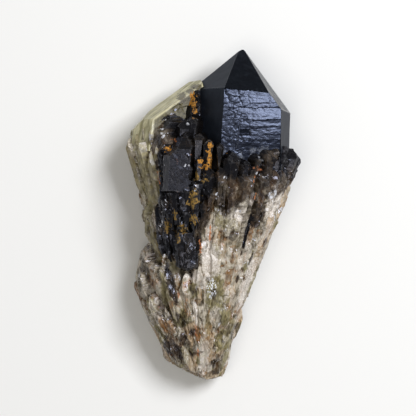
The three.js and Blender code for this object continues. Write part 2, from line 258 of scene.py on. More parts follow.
def wrapSpine(spine, s):
    # rays out of a spine: a fan of lowCap rows below its first point, level rows along it, and a fan of
    # highCap rows above its last point. spine(y) gives the middle at a height.
    heights = np.arange(s["low"], s["high"], s["rowStep"])
    turns = evenTurns(s["around"], *s["section"], s["closerInFront"])
    rows = [(heights[0], e) for e in np.linspace(-89, 0, s["lowCap"], endpoint=False)]
    rows += [(y, 0.0) for y in heights]
    rows += [(heights[-1], e) for e in np.linspace(0, 89, s["highCap"] + 1)[1:]]
    y, rise = np.array(rows).T
    rise = np.radians(rise)[:, None]
    origins = np.repeat(spine(y)[:, None], len(turns), axis=1)
    directions = np.stack([np.cos(rise) * np.cos(turns), np.sin(rise) * np.ones_like(turns),
                           np.cos(rise) * np.sin(turns)], axis=-1)
    return origins, directions


def insideBox(points):
    # the visual model stays inside the solid's box
    low, high = (np.array(corner) / millimetre for corner in cadBox)
    return np.clip(points, low + 0.01, high - 0.01)


def gridMesh(name, points, values, sharpAngle):
    # quads between neighbouring points of the grid, wrapped round, with a point closing each end
    rows, cols = points.shape[:2]
    ends = np.stack([points[0].mean(0), points[-1].mean(0)])
    vertices = np.concatenate([points.reshape(-1, 3), ends]) * millimetre
    index = np.arange(rows * cols).reshape(rows, cols)
    right = np.roll(index, -1, axis=1)
    quads = np.stack([index[:-1], index[1:], right[1:], right[:-1]], axis=-1).reshape(-1, 4)
    low = np.stack([np.full(cols, rows * cols), index[0], right[0]], axis=1)
    high = np.stack([np.full(cols, rows * cols + 1), right[-1], index[-1]], axis=1)
    mesh = bpy.data.meshes.new(name)
    mesh.vertices.add(len(vertices))
    mesh.vertices.foreach_set("co", vertices.ravel())
    loops = np.concatenate([quads.ravel(), low.ravel(), high.ravel()])
    sizes = np.concatenate([np.full(len(quads), 4), np.full(2 * cols, 3)])
    mesh.loops.add(len(loops))
    mesh.loops.foreach_set("vertex_index", loops)
    mesh.polygons.add(len(sizes))
    mesh.polygons.foreach_set("loop_start", np.concatenate([[0], np.cumsum(sizes)[:-1]]))
    mesh.update(calc_edges=True)
    mesh.validate()
    for key, value in values.items():
        # the closing points take the mean of the row beside them
        table = value.reshape(rows, cols, -1)
        whole = np.concatenate([table.reshape(rows * cols, -1), table[[0, -1]].mean(1)])
        kind, slot = ("FLOAT_VECTOR", "vector") if whole.shape[1] == 3 else ("FLOAT", "value")
        mesh.attributes.new(key, kind, "POINT").data.foreach_set(slot, whole.astype(np.float32).ravel())
    mesh.polygons.foreach_set("use_smooth", np.ones(len(sizes), bool))
    mesh.set_sharp_from_angle(angle=math.radians(sharpAngle))
    piece = bpy.data.objects.new(name, mesh)
    bpy.context.scene.collection.objects.link(piece)
    print(f"{name}: {len(sizes)} faces")
    return piece


# What shows on the front, listed one by one: x, y, half width across the fan, half length along it,
# strength.
# The rest follows from noise.
marks = {
    "limonite": [
        (-2.7, 11.3, 1.2, 1.6, 0.95), (-5.3, 12.3, 1.6, 2.0, 1.0), (-6.3, 5.0, 2.6, 4.6, 0.9),
        (-15.0, -3.2, 1.3, 2.6, 0.95), (-12.4, 0.4, 1.1, 2.0, 0.85), (-10.0, -4.6, 2.0, 2.6, 0.85),
        (-6.4, -1.4, 1.4, 2.2, 0.9), (-11.6, -7.2, 1.3, 2.4, 0.8), (-17.6, 14.8, 0.8, 4.2, 0.58)],
    "ochre": [
        (-14.2, 22.0, 0.8, 2.2, 0.9), (-6.4, 36.8, 1.5, 4.6, 0.96), (-0.9, 22.9, 1.0, 1.4, 1.2),
        (-1.0, 18.3, 1.5, 3.8, 1.0), (-4.1, 17.7, 1.1, 1.1, 1.0), (-2.3, 15.6, 1.9, 1.2, 1.0),
        (-15.3, 21.8, 0.9, 2.3, 0.77), (12.0, 15.8, 0.8, 1.5, 0.67), (4.7, 20.2, 0.5, 0.5, 1.1)],
    "rust": [
        (-5.0, -45.5, 0.4, 2.6, 0.9), (6.8, -42.0, 0.5, 0.5, 1.0), (-4.0, -10.6, 0.4, 3.0, 0.9),
        (-1.0, -6.4, 0.41, 4.0, 1.0), (-4.4, -10.2, 0.45, 3.2, 1.0), (14.2, 7.6, 0.38, 3.4, 0.9),
        (-5.6, -38.6, 0.6, 3.4, 0.8), (-11.4, -26.0, 0.52, 2.2, 0.9), (-9.0, -28.2, 1.05, 2.4, 0.6),
        (-16.0, -38.2, 0.6, 2.6, 0.6), (-13.3, 32.4, 0.68, 1.2, 0.9), (-12.3, 24.7, 0.52, 1.0, 0.9),
        (14.4, 15.4, 2.4, 0.9, 0.8), (11.0, -12.5, 0.45, 2.4, 0.6), (-14.0, -46.6, 1.2, 0.9, 0.6),
        (-17.9, 12.6, 0.38, 4.0, 0.8), (12.3, 24.2, 0.3, 1.2, 1.2), (13.4, 11.5, 0.26, 2.4, 1.12),
        (7.6, -20.4, 0.38, 1.2, 0.5), (10.6, -16.8, 0.75, 4.2, 0.4)],
    "shade": [
        (-10.4, 39.3, 1.5, 1.6, 1.1), (-7.6, 41.2, 1.6, 0.9, 1.0), (-6.0, 42.6, 2.2, 0.9, 0.9)],
    # smoky patches; the three that lie on grooves, at (-13.8, -22.5), (11.0, -6.0) and (0.4, -49.2), are
    # painted shade inside those crevices
    "smoke": [
        (-23.5, -17.0, 2.4, 5.5, 0.5), (-13.4, -44.5, 3.2, 6.0, 0.56), (-9.4, -41.6, 2.0, 3.4, 0.56),
        (0.4, -49.2, 1.7, 1.7, 0.52), (-13.8, -22.5, 1.7, 8.0, 0.76), (11.0, -6.0, 0.6, 8.4, 0.95),
        (-6.4, -24.4, 1.9, 2.4, 0.52), (7.4, -33.6, 1.3, 1.3, 0.46), (-6.6, -38.8, 1.2, 1.6, 0.5),
        (-10.5, -34.5, 2.6, 3.4, 0.46), (4.0, 2.5, 4.6, 4.6, 0.42), (20.6, 7.0, 2.2, 4.6, 0.4),
        (-20.4, -13.0, 2.6, 5.0, 0.5), (-22.6, -25.0, 2.2, 5.0, 0.38), (-22.0, -20.0, 1.0, 2.6, 0.5),
        (17.2, -9.0, 0.8, 2.0, 0.5), (8.0, -20.8, 0.6, 2.0, 0.5), (14.8, 0.5, 2.6, 6.5, 0.64),
        (5.5, 9.5, 6.0, 3.0, 0.5), (24.6, 20.0, 5.0, 6.0, 0.8), (-20.8, 14.0, 0.9, 3.0, 0.4),
        (-14.6, 30.6, 2.6, 2.8, 0.95), (-12.0, 26.5, 1.6, 4.0, 0.8), (12.6, -14.0, 0.5, 3.0, 0.5),
        (-24.8, -6.0, 0.6, 2.0, 0.5)],
    "amber": [
        (-9.4, -20.5, 0.8, 5.0, 0.8), (-5.0, -39.5, 0.9, 3.6, 0.9), (-16.5, -36.0, 1.5, 4.0, 0.7),
        (-13.0, -31.0, 2.4, 5.0, 0.6), (9.6, -16.0, 1.0, 6.0, 0.45), (4.5, -36.0, 2.0, 4.0, 0.5),
        (-20.5, -22.0, 1.2, 3.4, 0.7), (12.5, -6.0, 1.0, 5.0, 0.7), (15.5, 5.0, 1.6, 4.0, 0.8),
        (18.6, -4.0, 0.9, 5.0, 0.5), (6.3, -14.0, 0.9, 4.0, 0.5), (-17.4, -12.0, 1.0, 6.0, 0.7),
        (5.0, 4.0, 2.4, 3.0, 0.6), (-11.0, -44.0, 3.0, 4.0, 0.6), (20.6, 10.0, 3.0, 2.4, 0.6)],
    "veil": [
        (-1.0, -14.5, 3.6, 6.6, 0.9), (-7.0, -19.6, 3.4, 2.6, 0.75), (9.0, 0.4, 2.2, 3.4, 0.9),
        (-5.8, -32.0, 0.9, 4.6, 0.95), (-3.0, -47.5, 1.9, 7.4, 0.7), (-22.4, -15.5, 2.0, 5.0, 0.5),
        (-27.2, 24.0, 1.6, 7.0, 0.62), (20.6, 5.6, 2.6, 7.2, 0.85), (12.0, -20.0, 1.8, 9.0, 0.8),
        (-1.4, -5.5, 1.6, 5.0, 0.55), (3.4, 1.0, 1.6, 4.0, 0.6), (-0.6, 6.5, 1.1, 2.0, 0.7),
        (-17.0, -30.5, 1.4, 5.2, 0.5), (4.6, -25.6, 1.0, 3.2, 0.7), (6.4, -47.5, 1.2, 3.4, 0.7),
        (9.4, -28.0, 1.2, 4.2, 0.8), (-19.4, -32.0, 1.8, 4.0, 0.6), (-18.5, 7.0, 0.6, 4.0, 0.4),
        (23.0, -1.0, 1.0, 3.0, 0.6), (-13.6, -22.6, 1.2, 3.6, 0.45)],
    "olive": [
        (0.6, -25.8, 3.4, 6.6, 1), (-6.6, -24.6, 2.0, 3.0, 0.95), (3.6, -41.0, 3.2, 4.6, 0.9),
        (-10.6, -34.2, 2.8, 3.4, 0.9), (4.4, -34.0, 1.6, 3.4, 0.8), (-23.6, 20.0, 2.8, 9.0, 0.8),
        (-22.0, 5.0, 2.2, 9.0, 0.7), (-22.6, -17.0, 1.6, 4.4, 0.6), (-1.6, -36.6, 1.5, 5.0, 0.5),
        (8.6, -9.0, 1.6, 5.0, 0.4), (2.4, 9.5, 1.6, 3.0, 0.5), (9.0, 9.0, 2.0, 2.6, 0.3)],
    # painted glints: white flecks where the facets catch the light
    "paintedGlint": [
        (-16.2, 4.4, 1.8, 1.4, 0.9), (1.4, 6.4, 1.2, 1.4, 1), (-16.6, 27.2, 1.1, 2.6, 0.9),
        (-15.4, 31.0, 1.4, 1.2, 0.8), (-0.4, -24.0, 2.0, 4.2, 1.05), (4.4, -31.0, 0.8, 1.4, 1),
        (2.2, -36.0, 0.6, 0.8, 1), (-1.4, -47.0, 0.6, 0.5, 1), (4.6, -45.0, 1.2, 0.8, 0.9),
        (21.4, 1.0, 1.6, 4.0, 0.9), (19.8, 6.6, 1.6, 2.4, 1.0), (-2.0, 2.6, 1.0, 1.6, 0.8),
        (8.2, 0.8, 1.6, 2.4, 0.8), (-5.8, -15.2, 0.7, 1.4, 0.8)],
    # grooves cut into the surface; the colour is also darkened in them, as painted shade
    "groove": [
        (-13.6, -22.6, 1.2, 7.5, 0.9), (10.9, -5.6, 0.65, 8.6, 0.49), (0.9, -49.2, 1.1, 1.3, 0.83),
        (-17.4, 14.6, 0.65, 5.4, 0.49), (-4.6, -39.6, 0.65, 2.4, 0.49), (-13.8, -8.0, 0.65, 5.0, 0.49),
        (-10.2, -2.0, 0.65, 5.0, 0.49), (3.2, -6.0, 0.65, 6.0, 0.49), (16.4, 2.0, 0.65, 5.0, 0.49),
        (-0.9, -44.0, 0.65, 5.0, 0.49), (-17.0, -16.0, 0.65, 5.0, 0.49)],
}


def frontShare(points):
    # 1 on the front, fading to 0 where the sides turn under
    _, _, front = rootAt(points[:, 1])
    return smoothStep(0.22, 0.5, points[:, 2] / front)


def markField(points, kind, ragged):
    # the strongest mark at each point: an ellipse turned along the fan, its rim broken up by noise
    value = np.zeros(len(points))
    rim = ragged * layeredNoise(points / 1.1, 61) + 0.5 * ragged * smoothNoise(points / 0.45, 67)
    for x, y, wide, tall, strength in marks[kind]:
        out = unit((x - lattice["rootPoint"][0], y - lattice["rootPoint"][1]))
        dx, dy = points[:, 0] - x, points[:, 1] - y
        radius = np.hypot((dx * out[1] - dy * out[0]) / wide, (dx * out[0] + dy * out[1]) / tall)
        value = np.maximum(value, strength * smoothStep(1.25, 0.55, radius + rim))
    return value * frontShare(points)


# The root and the crown


cluster = {
    # rays round it, rows along it and where they begin and end, rows of the two end fans, half width and
    # depth of its section, how many times closer the rays lie on the front, angle that keeps an edge sharp
    "around": 430, "rowStep": 0.42, "low": -47.5, "high": 34.5, "lowCap": 20, "highCap": 14,
    "section": (25, 14), "closerInFront": 1.45, "sharpAngle": 27,
    # how far away on the grid hollows and edges are felt, and the depth in millimetres that counts in full
    "hollows": (14, 0.6), "edges": (2, 0.07),
    # how far it lies under the skins of the head and the side crystal, what each cell inwards adds, and
    # after how many cells it sinks no more
    "underSkin": 0.3, "sinking": 0.5, "mostCells": 30,
    "blackBlock": {
        "tip": (-8.6, 26.4, 27.6), "length": 19, "axis": (0.06, 0.988, 0), "roll": -7,
        "faces": [(0, 38.2, 0), (60, 38.2, 0), (120, 38.2, 0.5), (180, 38.2, 1), (240, 38.2, 2),
                  (300, 38.2, 0.6), (0, 0, 3.9), (60, 0, 3.2), (120, 0, 2.4), (180, 0, 9), (240, 0, 6),
                  (300, 0, 6.6)]},
    # columns in front: tip x, tip y, half width, foot y, how far it stands proud, share of the fan's lean
    "crownColumns": [
        (-4.5, 27.1, 2.1, 14.4, -1, 0.1), (-1.3, 25.1, 1.7, 13.1, 1, 0.1),
        (-4.3, 19.4, 1.5, 11.1, 1.8, 0.1), (-7, 32.8, 2, 21.8, -2.5, 0.1),
        (-9.6, 31.1, 2.2, 18.4, -2, 0.2), (6.4, 20.8, 2.7, 8.4, 1.3, 0.2),
        (3, 15.8, 2.3, 3.1, 1.2, 0.3), (10.2, 17.9, 1.9, 7.4, 0.4, 0.2),
        (14.6, 20.2, 1.7, 8.4, -0.6, 0.5), (18.0, 22.4, 2.2, 6.4, -0.6, -0.3),
        (26.2, 22.1, 2.8, -1.0, 1.5, 0.6), (28.2, 19.6, 1.6, -2.0, 0, 1),
        (22.7, 20.8, 1.8, 5.1, 1, 0.5), (11, 15.8, 3.4, 3.1, 1.4, 0.3),
        (-12.6, 12.4, 2.6, 0.4, 1.4, 0.4), (-17, 21.8, 1.5, 5.1, 0.3, 0.5),
        (-15, 19.8, 1.5, 1.8, 0.3, 0.4), (-1.3, 15.8, 2.4, -3.6, 0.9, 0.5),
        (6.7, 11.8, 2.2, -6.9, 0.8, 0.6), (16.4, 14.4, 2.6, -1.6, 1.2, 0.4),
        (20.4, 15.1, 2.4, -4.9, 1, 0.7), (23.4, 14.4, 2, -10.0, 1, 0.9),
        (-15.6, 8.4, 2.8, -6.9, 1.2, 0.6), (-8.6, 10.4, 2.2, -0.2, 1.6, 0.4),
        (-5.3, 13.1, 2.2, -5.6, 1, 0.4)],
    # small ones that hide the black block's foot
    "blockFoot": [
        (-11.8, 10.6, 1.5, -3, 1.6, 0.3), (-8.8, 9.0, 1.8, -5, 1.3, 0.3),
        (-6.2, 10.8, 1.3, -2, 1.2, 0.4), (-10.4, 7.2, 1.2, -6, 1.9, 0.5),
        (-13.4, 8.0, 1.3, -5, 1.0, 0.5)],
    # columns in front: tip x, tip y, half width, foot y, lean of the end faces, how far it stands proud
    "leftRibs": [
        (-27.8, 25.9, 1.9, 3.1, 30, 0), (-24.8, 24.1, 1.5, -6.9, 12, 0),
        (-22.6, 27.6, 1.6, -11.6, 10, 0), (-25.4, 27.0, 1.6, 3.0, 22, 1.5),
        (-23.0, 29.6, 1.5, 2.0, 17, 1.2), (-20.7, 28.2, 1.5, 0.0, 18, 1.0),
        (-24.2, 24.2, 1.2, -2.0, 20, 1.7), (-20.6, 21.4, 1.6, -9.9, 19, 0),
        (-18.6, 23.1, 1.3, 0.4, 22, 0), (-22.6, 3.4, 1.7, -15.6, 16, 0),
        (-20.8, 0.4, 1.8, -20.2, 18, 0), (-22.8, -0.9, 1.3, -15.6, 15, 0)],
    "darkColumns": [
        (-19, 3.1, 2, -15.6, 30, 0), (-17.3, -0.9, 2, -16.2, 30, 0.4),
        (-13.6, 3.8, 1.9, -10.2, 30, 0.3), (-10.3, 2.8, 1.9, -11.6, 30, 0),
        (-7.3, 5.1, 1.8, -10.2, 30, 0.5), (-14.3, -4.6, 2, -24.9, 30, 0),
        (-4.6, 1.8, 1.9, -15.6, 30, 0)],
    # the broad black ends that stop short above the white patch
    "darkBlocks": [
        (-15.8, -3.5, 1.6, -14.6, 24, 0.9), (-18, -5.0, 1.3, -15.0, 26, 0.8),
        (-10.6, -0.4, 1.7, -9.0, 24, 1.2)],
    # the same without the last value
    "paleColumns": [
        (-1.6, 5.8, 2.2, -24.9, 27), (1.7, 7.8, 2.5, -31.6, 19), (5, 4.1, 2.2, -28.2, 24),
        (8.4, 5.4, 2.5, -34.9, 16), (14, 6.4, 2.2, -38.2, 20), (17, 8.4, 2.3, -31.6, 25),
        (20, 5.1, 2.1, -28.2, 17), (22.4, 8.4, 1.6, -26.2, 14), (25, 11.8, 1.6, -20.6, 14),
        (-2.3, -4.2, 3, -41.6, 18), (1.4, -8.2, 2.6, -44.9, 23), (5.4, -5.2, 2.8, -44.9, 15),
        (9, -10.2, 2.6, -43.2, 20), (12.4, -5.9, 2.2, -38.2, 24), (15.4, -2.2, 1.9, -31.6, 17),
        (18.4, 0.4, 1.6, -24.9, 22), (-22.3, -11.2, 2.4, -38.2, 26), (-19.6, -15.6, 2.4, -43.2, 18),
        (-16.6, -13.2, 2.4, -44.9, 23), (-24.3, -18.9, 1.9, -36.9, 16), (-13.3, -23.6, 1.8, -44.9, 20),
        (-9, -18.6, 3.2, -52.2, 25), (-5.3, -23.2, 2.4, -53.6, 17), (-1.3, -17.6, 3.2, -52.9, 22),
        (2.7, -25.6, 2.6, -50.9, 26), (6.4, -20.2, 2.2, -47.6, 19), (9.7, -15.6, 2, -43.2, 23),
        (12.4, -14.2, 1.5, -32.2, 16), (-12.3, -34.2, 2.2, -50.9, 21), (-8.6, -28.9, 2.2, -52.2, 25),
        (-4, -36.6, 1.8, -54.6, 17), (-0.6, -30.2, 1.9, -54.9, 22), (3, -38.2, 2.2, -53.2, 27),
        (6.4, -30.9, 1.8, -46.9, 19), (-21, -25.6, 2, -43.2, 24), (-18.6, -36.2, 2, -47.6, 16),
        (-15.6, -30.2, 2.2, -50.2, 20), (-14, -40.9, 2, -52.2, 25)],
    # degrees that the crown's and the dark columns are rolled, so that their faces don't catch the light
    # together: every second one, the others, and what is added at most
    "crownRoll": (13, -11, 7), "darkRoll": (-11, -11, 8),
    # fused lumps that the columns stand on: outline, back z, front z, back bevel, front bevel, front's lean
    "lumps": {
        "leftCore": (
            [(-26.3, 26.4), (-27.3, 21.8), (-24.3, 11.8), (-21.6, 1.1), (-20.3, -8.2), (-11, -8.2),
             (-11, 26.4)], 1.5, 22.5, 7, 6, (-0.25, 0)),
        "hump": (
            [(-20.3, 15.8), (-13.6, 14.4), (-10.3, 21.8), (-11.6, 31.8), (-14, 34.6), (-17, 33.1),
             (-21, 28.8), (-22, 23.1)], 10, 27.6, 3, 5, (-0.12, 0.12)),
        "humpShoulder": (
            [(-22.3, 11.8), (-9, 11.8), (-7.6, 25.1), (-13.6, 29.8), (-19, 31.4), (-23.6, 27.1),
             (-25, 21.8)], 8, 26.2, 3, 5, (-0.25, 0.06)),
        "upperCore": (
            [(-18.3, 21.8), (-20.3, 8.4), (-18.3, -8.2), (-7.6, -28.2), (9, -18.2), (18.4, 0.1),
             (23.7, 14.4), (21, 21.8)], 2.5, 24.5, 8, 7, (0, -0.05)),
        "lowerCore": (
            [(-18.3, -3.2), (-20.3, -15.6), (-17.6, -26.9), (-11, -43.2), (-7.6, -50.2), (2.4, -50.2),
             (5.7, -39.9), (15, -3.2)], 2.5, 17.5, 6, 6, (0, -0.16)),
        "rightWing": (
            [(16.4, 18.4), (6.4, -8.2), (4.4, -38.2), (7.7, -35.6), (10.4, -24.2), (15.3, -10.9),
             (21.4, 3.1), (27, 14.8), (28, 18.4), (24.4, 19.8)], 6, 17, 5, 5, (0.1, -0.15)),
        "lobe": (
            [(-22, -9.9), (-24, -12.2), (-26, -21.6), (-26.5, -25.2), (-21.2, -36.9), (-15.8, -48.2),
             (-11, -45.6), (-10.3, -15.6)], 2, 18, 7, 7, (-0.15, -0.15)),
        "foot": (
            [(-14.3, -45.6), (-16, -48.6), (-13.3, -50.6), (-9, -52.6), (-3.6, -54.8), (-0.3, -55.2),
             (3, -54.2), (5, -50.2), (5.7, -44.9), (3, -38.2), (-11, -38.2)], 2, 13, 4, 4, (0, -0.1)),
        "joint": (
            [(-9.6, 29), (-4.4, 29), (-3.9, 36), (-4.9, 41.2), (-6.4, 42.4), (-8.2, 39), (-9.8, 34)], 8,
            23, 2, 2.4, (-0.2, 0.12)),
        "blackEnd": (
            [(-11.9, -16.8), (-8.6, -18.3), (-4.9, -17.2), (-4.4, -9.8), (-6.2, -5.0), (-11.6, -5.0),
             (-12.5, -10.6)], 14, 28.9, 2, 0.8, (0.1, -0.07)),
        "footCorner": (
            [(2.7, -46.9), (2, -54.2), (4.9, -53.9), (5.2, -51.2), (5.8, -47.6), (7.6, -44.9),
             (8, -39.6), (4.4, -39.6)], 3, 14, 2, 2, (0, 0))},
    # the columns of the sides and back, from the crown down to the root; from and through are degrees
    "backColumns": {
        "count": 54, "top": 27, "drop": 70, "leastWidth": 2.2, "addedWidth": 1.8, "leastLength": 30,
        "addedLength": 14, "lowestFoot": -55, "sharpAbove": 8, "splinterLean": 22, "from": 172,
        "through": 196, "roll": 24},
    # small crystals all over: how many, lowest and highest tip, and ranges of half width, length, how far
    # they stand proud, lean of the end faces, share of the fan's lean, sway, and angles round the spine
    "smallCrystals": {
        "druse": {"count": 80, "tips": (-2, 24), "width": (0.7, 1.7), "length": (5, 10),
                  "proud": (0.5, 1.7), "endLean": (36, 40), "fanShare": (0.2, 0.8), "sway": 0.16,
                  "from": -10, "to": 130, "seed": 5},
        "splinter": {"count": 60, "tips": (-48, 6), "width": (1.3, 3.2), "length": (8, 20),
                     "proud": (0.0, 0.6), "endLean": (9, 22), "fanShare": (0.85, 1.0), "sway": 0.08,
                     "from": 0, "to": 360, "seed": 8}},
    # the splinters' relief: depth, width and length of each part, and how much of it each kind has
    "splinters": {
        "fibre": (0.03, 1.4, 4.0), "channel": (0.35, 3.8, 11.0), "chip": (0.8, 3.6, 5.2),
        "chiplet": (0.3, 1.6, 2.4), "grain": (0.02, 0.7),
        "share": {"crown": 0.24, "druse": 0.2, "dark": 0.5, "darkBlock": 0.5, "blackEnd": 0.22,
                  "block": 0.1, "rib": 0.15, "splinter": 0.5, "hump": 0.9, "humpShoulder": 0.7,
                  "footCorner": 0.5, "joint": 0.9, "leftCore": 0.2}},
    # where the smoky colour ends on the front, as the height for each x; over what length; and on the back
    "smokeEdge": {"x": [-30, -20.5, -18.5, -5, -1, 8, 18, 24, 30], "y": [34, 34, -13, -15, 4, 4, 6, 12, 13],
                  "blend": 7.5, "back": 6},
    # where the black ends and only brown is left
    "blackEdge": {"x": [-30, -7, -3, 1, 16, 22, 30], "y": [-20, -12, 4, 12, 13, 15, 16]},
    # how smoky each kind is at least, and what its own tone adds
    "smoke": {"crown": (0.68, 0.28), "dark": (0.38, 0.34), "hump": (0.45, 0.14), "black": (0.8, 0.2),
              "rib": 0.1, "brown": 0.58, "cloud": 0.46},
}


def depthOnFront(x, y, width, proud):
    # how far forward a tip stands, so that the column's front lies on the root's front, which is half an
    # ellipse from side to side
    middle, half, front = rootAt(y)
    across = min(max((x - middle) / half, -0.97), 0.97)
    widest = lattice["widestDepth"] * front
    return widest + (front - widest) * math.sqrt(1 - across * across) - (width - proud)


def column(tip, width, foot, kind, fanShare=1.0, endLean=38.2, narrowing=0.45, roll=0.0, sway=(0, 0, 0)):
    # a six-sided column. Its axis lies between the head's and the fan's line, by fanShare, and sway leans
    # it off that. Its end faces meet at the tip, every second one set out by a quarter of the half width;
    # its sides stand a half width off the axis below them and close in towards the foot.
    tip = np.array(tip, float)
    fan = unit(tip - np.array(lattice["rootPoint"]))
    axis = unit(unit(lattice["headAxis"]) * (1 - fanShare) + fan * fanShare + np.array(sway))
    rows = crystalFrame(axis, roll)
    length = (tip[1] - foot) / axis[1]
    inward = -math.degrees(math.atan(width * narrowing / length))
    shoulder = tip - axis * width / math.tan(math.radians(endLean))
    planes = []
    for face in range(6):
        endNormal, sideNormal = faceNormal(rows, 60 * face, endLean), faceNormal(rows, 60 * face, inward)
        planes.append((endNormal, endNormal @ tip + (0.25 * width if face % 2 else 0)))
        planes.append((sideNormal, sideNormal @ shoulder + width))
    planes.append((-axis, -axis @ tip + length))
    return asCrystal(planes, tip, kind, (foot - 2 * width, tip[1] + width))


def frontColumn(x, y, width, foot, kind, proud=0.0, **shape):
    # a column whose tip lies on the front at x and y
    return column((x, y, depthOnFront(x, y, width, proud)), width, foot, kind, **shape)


def spread(index, shift=0.0, step=0.618):
    # from 0 to 1 and even however many there are: what the steps' sum leaves after its whole part, where
    # the usual step is the golden ratio
    value = index * step + shift
    return value - math.floor(value)


def rolled(index, rolls):
    # degrees of roll for every second column and for the others, and how much is added at most
    odd, even, added = rolls
    return (odd if index % 2 else even) + added * spread(index)


def backColumn(index):
    # spread round the sides and back from the top down; each lies on the root's oval outline
    s = cluster["backColumns"]
    y = s["top"] - s["drop"] * index / s["count"]
    middle, half, front = rootAt(y)
    around = math.radians(s["from"] + s["through"] * spread(index, 0.15))
    width = s["leastWidth"] + s["addedWidth"] * spread(index, step=0.7548)
    widest = lattice["widestDepth"] * front
    reach = half - width * 0.8 - (1 if math.cos(around) > 0 else 0)
    z = max(widest + (widest - width * 0.6) * math.sin(around), width * 0.4)
    foot = max(y - s["leastLength"] - s["addedLength"] * spread(index, step=0.5698), s["lowestFoot"])
    return column((middle + reach * math.cos(around), y, z), width, foot, "back", narrowing=0.4,
                  endLean=lattice["endFaceLean"] if y > s["sharpAbove"] else s["splinterLean"],
                  roll=s["roll"] * spread(index, step=0.37) - s["roll"] / 2)


def smallCrystal(kind, index):
    # placed round the spine at random: an angle from the right over the front to the left and back
    s = cluster["smallCrystals"][kind]
    r = hashed(np.full(9, index), np.arange(9), np.zeros(9), s["seed"])

    def within(name, share):
        return s[name][0] + (s[name][1] - s[name][0]) * share
    y, width, length = within("tips", r[0]), within("width", r[1] ** 1.5), within("length", r[2])
    around = math.radians(s["from"] + (s["to"] - s["from"]) * spread(index, 0.05 * r[3]))
    middle, half, front = rootAt(y)
    widest = lattice["widestDepth"] * front
    x = middle + (half - 0.85 * width) * math.cos(around)
    deep = widest - 0.6 * width
    if math.sin(around) > 0:
        deep = front - widest - width + within("proud", r[4])
    tip = (x, y, max(widest + deep * math.sin(around), 0.4 * width))
    sway = tuple((r[5:8] - 0.5) * 2 * s["sway"])
    return column(tip, width, y - length, kind, fanShare=within("fanShare", r[8]), narrowing=1.0, sway=sway,
                  endLean=within("endLean", r[3]), roll=60 * r[4])


def lump(name):
    # a slab between a back and a leaning front, whose rims are cut off by a plane halfway between its side
    # and its front or back; its outline runs anticlockwise as the front is seen
    outline, back, front, backBevel, frontBevel, lean = cluster["lumps"][name]
    points = np.array(outline, float)
    centre = points.mean(0)
    frontNormal, backNormal = unit((lean[0], lean[1], 1)), np.array([0, 0, -1.0])
    planes = []
    for (ax, ay), (bx, by) in zip(points, np.roll(points, -1, axis=0)):
        outward = unit((by - ay, ax - bx, 0))
        x, y = (ax + bx) / 2, (ay + by) / 2
        rim = np.array([x, y, front - lean[0] * (x - centre[0]) - lean[1] * (y - centre[1])])
        heel = np.array([x, y, back])
        planes.append((outward, outward @ rim))
        for normal, point, bevel in ((unit(outward + frontNormal), rim, frontBevel),
                                     (unit(outward + backNormal), heel, backBevel)):
            planes.append((normal, normal @ point - bevel * math.sqrt(0.5)))
    planes.append((frontNormal, frontNormal @ np.array([*centre, front])))
    planes.append((backNormal, -back))
    return asCrystal(planes, (*centre, front), name, (points[:, 1].min(), points[:, 1].max()))


def clusterCrystals():
    # everything that the surface is the outside of
    s = cluster
    made = [facedCrystal(s["blackBlock"], "block")]
    made += [lump(name) for name in s["lumps"]]
    made += [frontColumn(x, y, w, foot, "crown", proud, fanShare=share, narrowing=0.7,
                         roll=rolled(index, s["crownRoll"]))
             for index, (x, y, w, foot, proud, share) in enumerate(s["crownColumns"] + s["blockFoot"])]
    made += [frontColumn(x, y, w, foot, "rib", proud, narrowing=0.3, endLean=lean)
             for x, y, w, foot, lean, proud in s["leftRibs"]]
    made += [frontColumn(x, y, w, foot, "dark", proud, endLean=lean, roll=rolled(index, s["darkRoll"]))
             for index, (x, y, w, foot, lean, proud) in enumerate(s["darkColumns"])]
    made += [frontColumn(x, y, w, foot, "darkBlock", proud, endLean=lean, roll=-7, narrowing=0.2)
             for x, y, w, foot, lean, proud in s["darkBlocks"]]
    made += [frontColumn(x, y, w, foot, "pale", endLean=lean) for x, y, w, foot, lean in s["paleColumns"]]
    made += [backColumn(index) for index in range(s["backColumns"]["count"])]
    # the long ribs on the left stay smooth, and the pale edge on the right
    for kind, small in s["smallCrystals"].items():
        for crystal in (smallCrystal(kind, index) for index in range(small["count"])):
            x, y, _ = crystal["tip"]
            pale = kind == "druse" and y < np.interp(x, s["smokeEdge"]["x"], s["smokeEdge"]["y"]) + 2
            if not pale and (x > -17.5 or y < -14):
                made.append(crystal)
    return made


def clusterSpine(y):
    # the root's middle, at the depth where it is widest
    middle, _, front = rootAt(y)
    return np.stack([middle, y, lattice["widestDepth"] * front], axis=-1)


def fanCoordinates(points):
    # where the line from the root point crosses the fan's sphere, and how far out the point lies; near the
    # broken end the lines run side by side
    away = points - np.array(lattice["rootPoint"])
    along = np.linalg.norm(away, axis=1)
    share = lattice["fanRadius"] / np.maximum(along, lattice["fanNearest"])
    return away[:, 0] * share, away[:, 2] * share, along


def cavity(grid, normals, reach):
    # how far each point lies below the mean of its neighbourhood, in millimetres; the mean comes from
    # averaging the four neighbours on the grid over and over
    mean = grid.copy()
    for _ in range(reach):
        padded = np.concatenate([mean[:1], mean, mean[-1:]])
        mean = (padded[:-2] + padded[2:] + np.roll(mean, 1, 1) + np.roll(mean, -1, 1)) / 4
    return ((mean - grid) * normals).sum(-1)


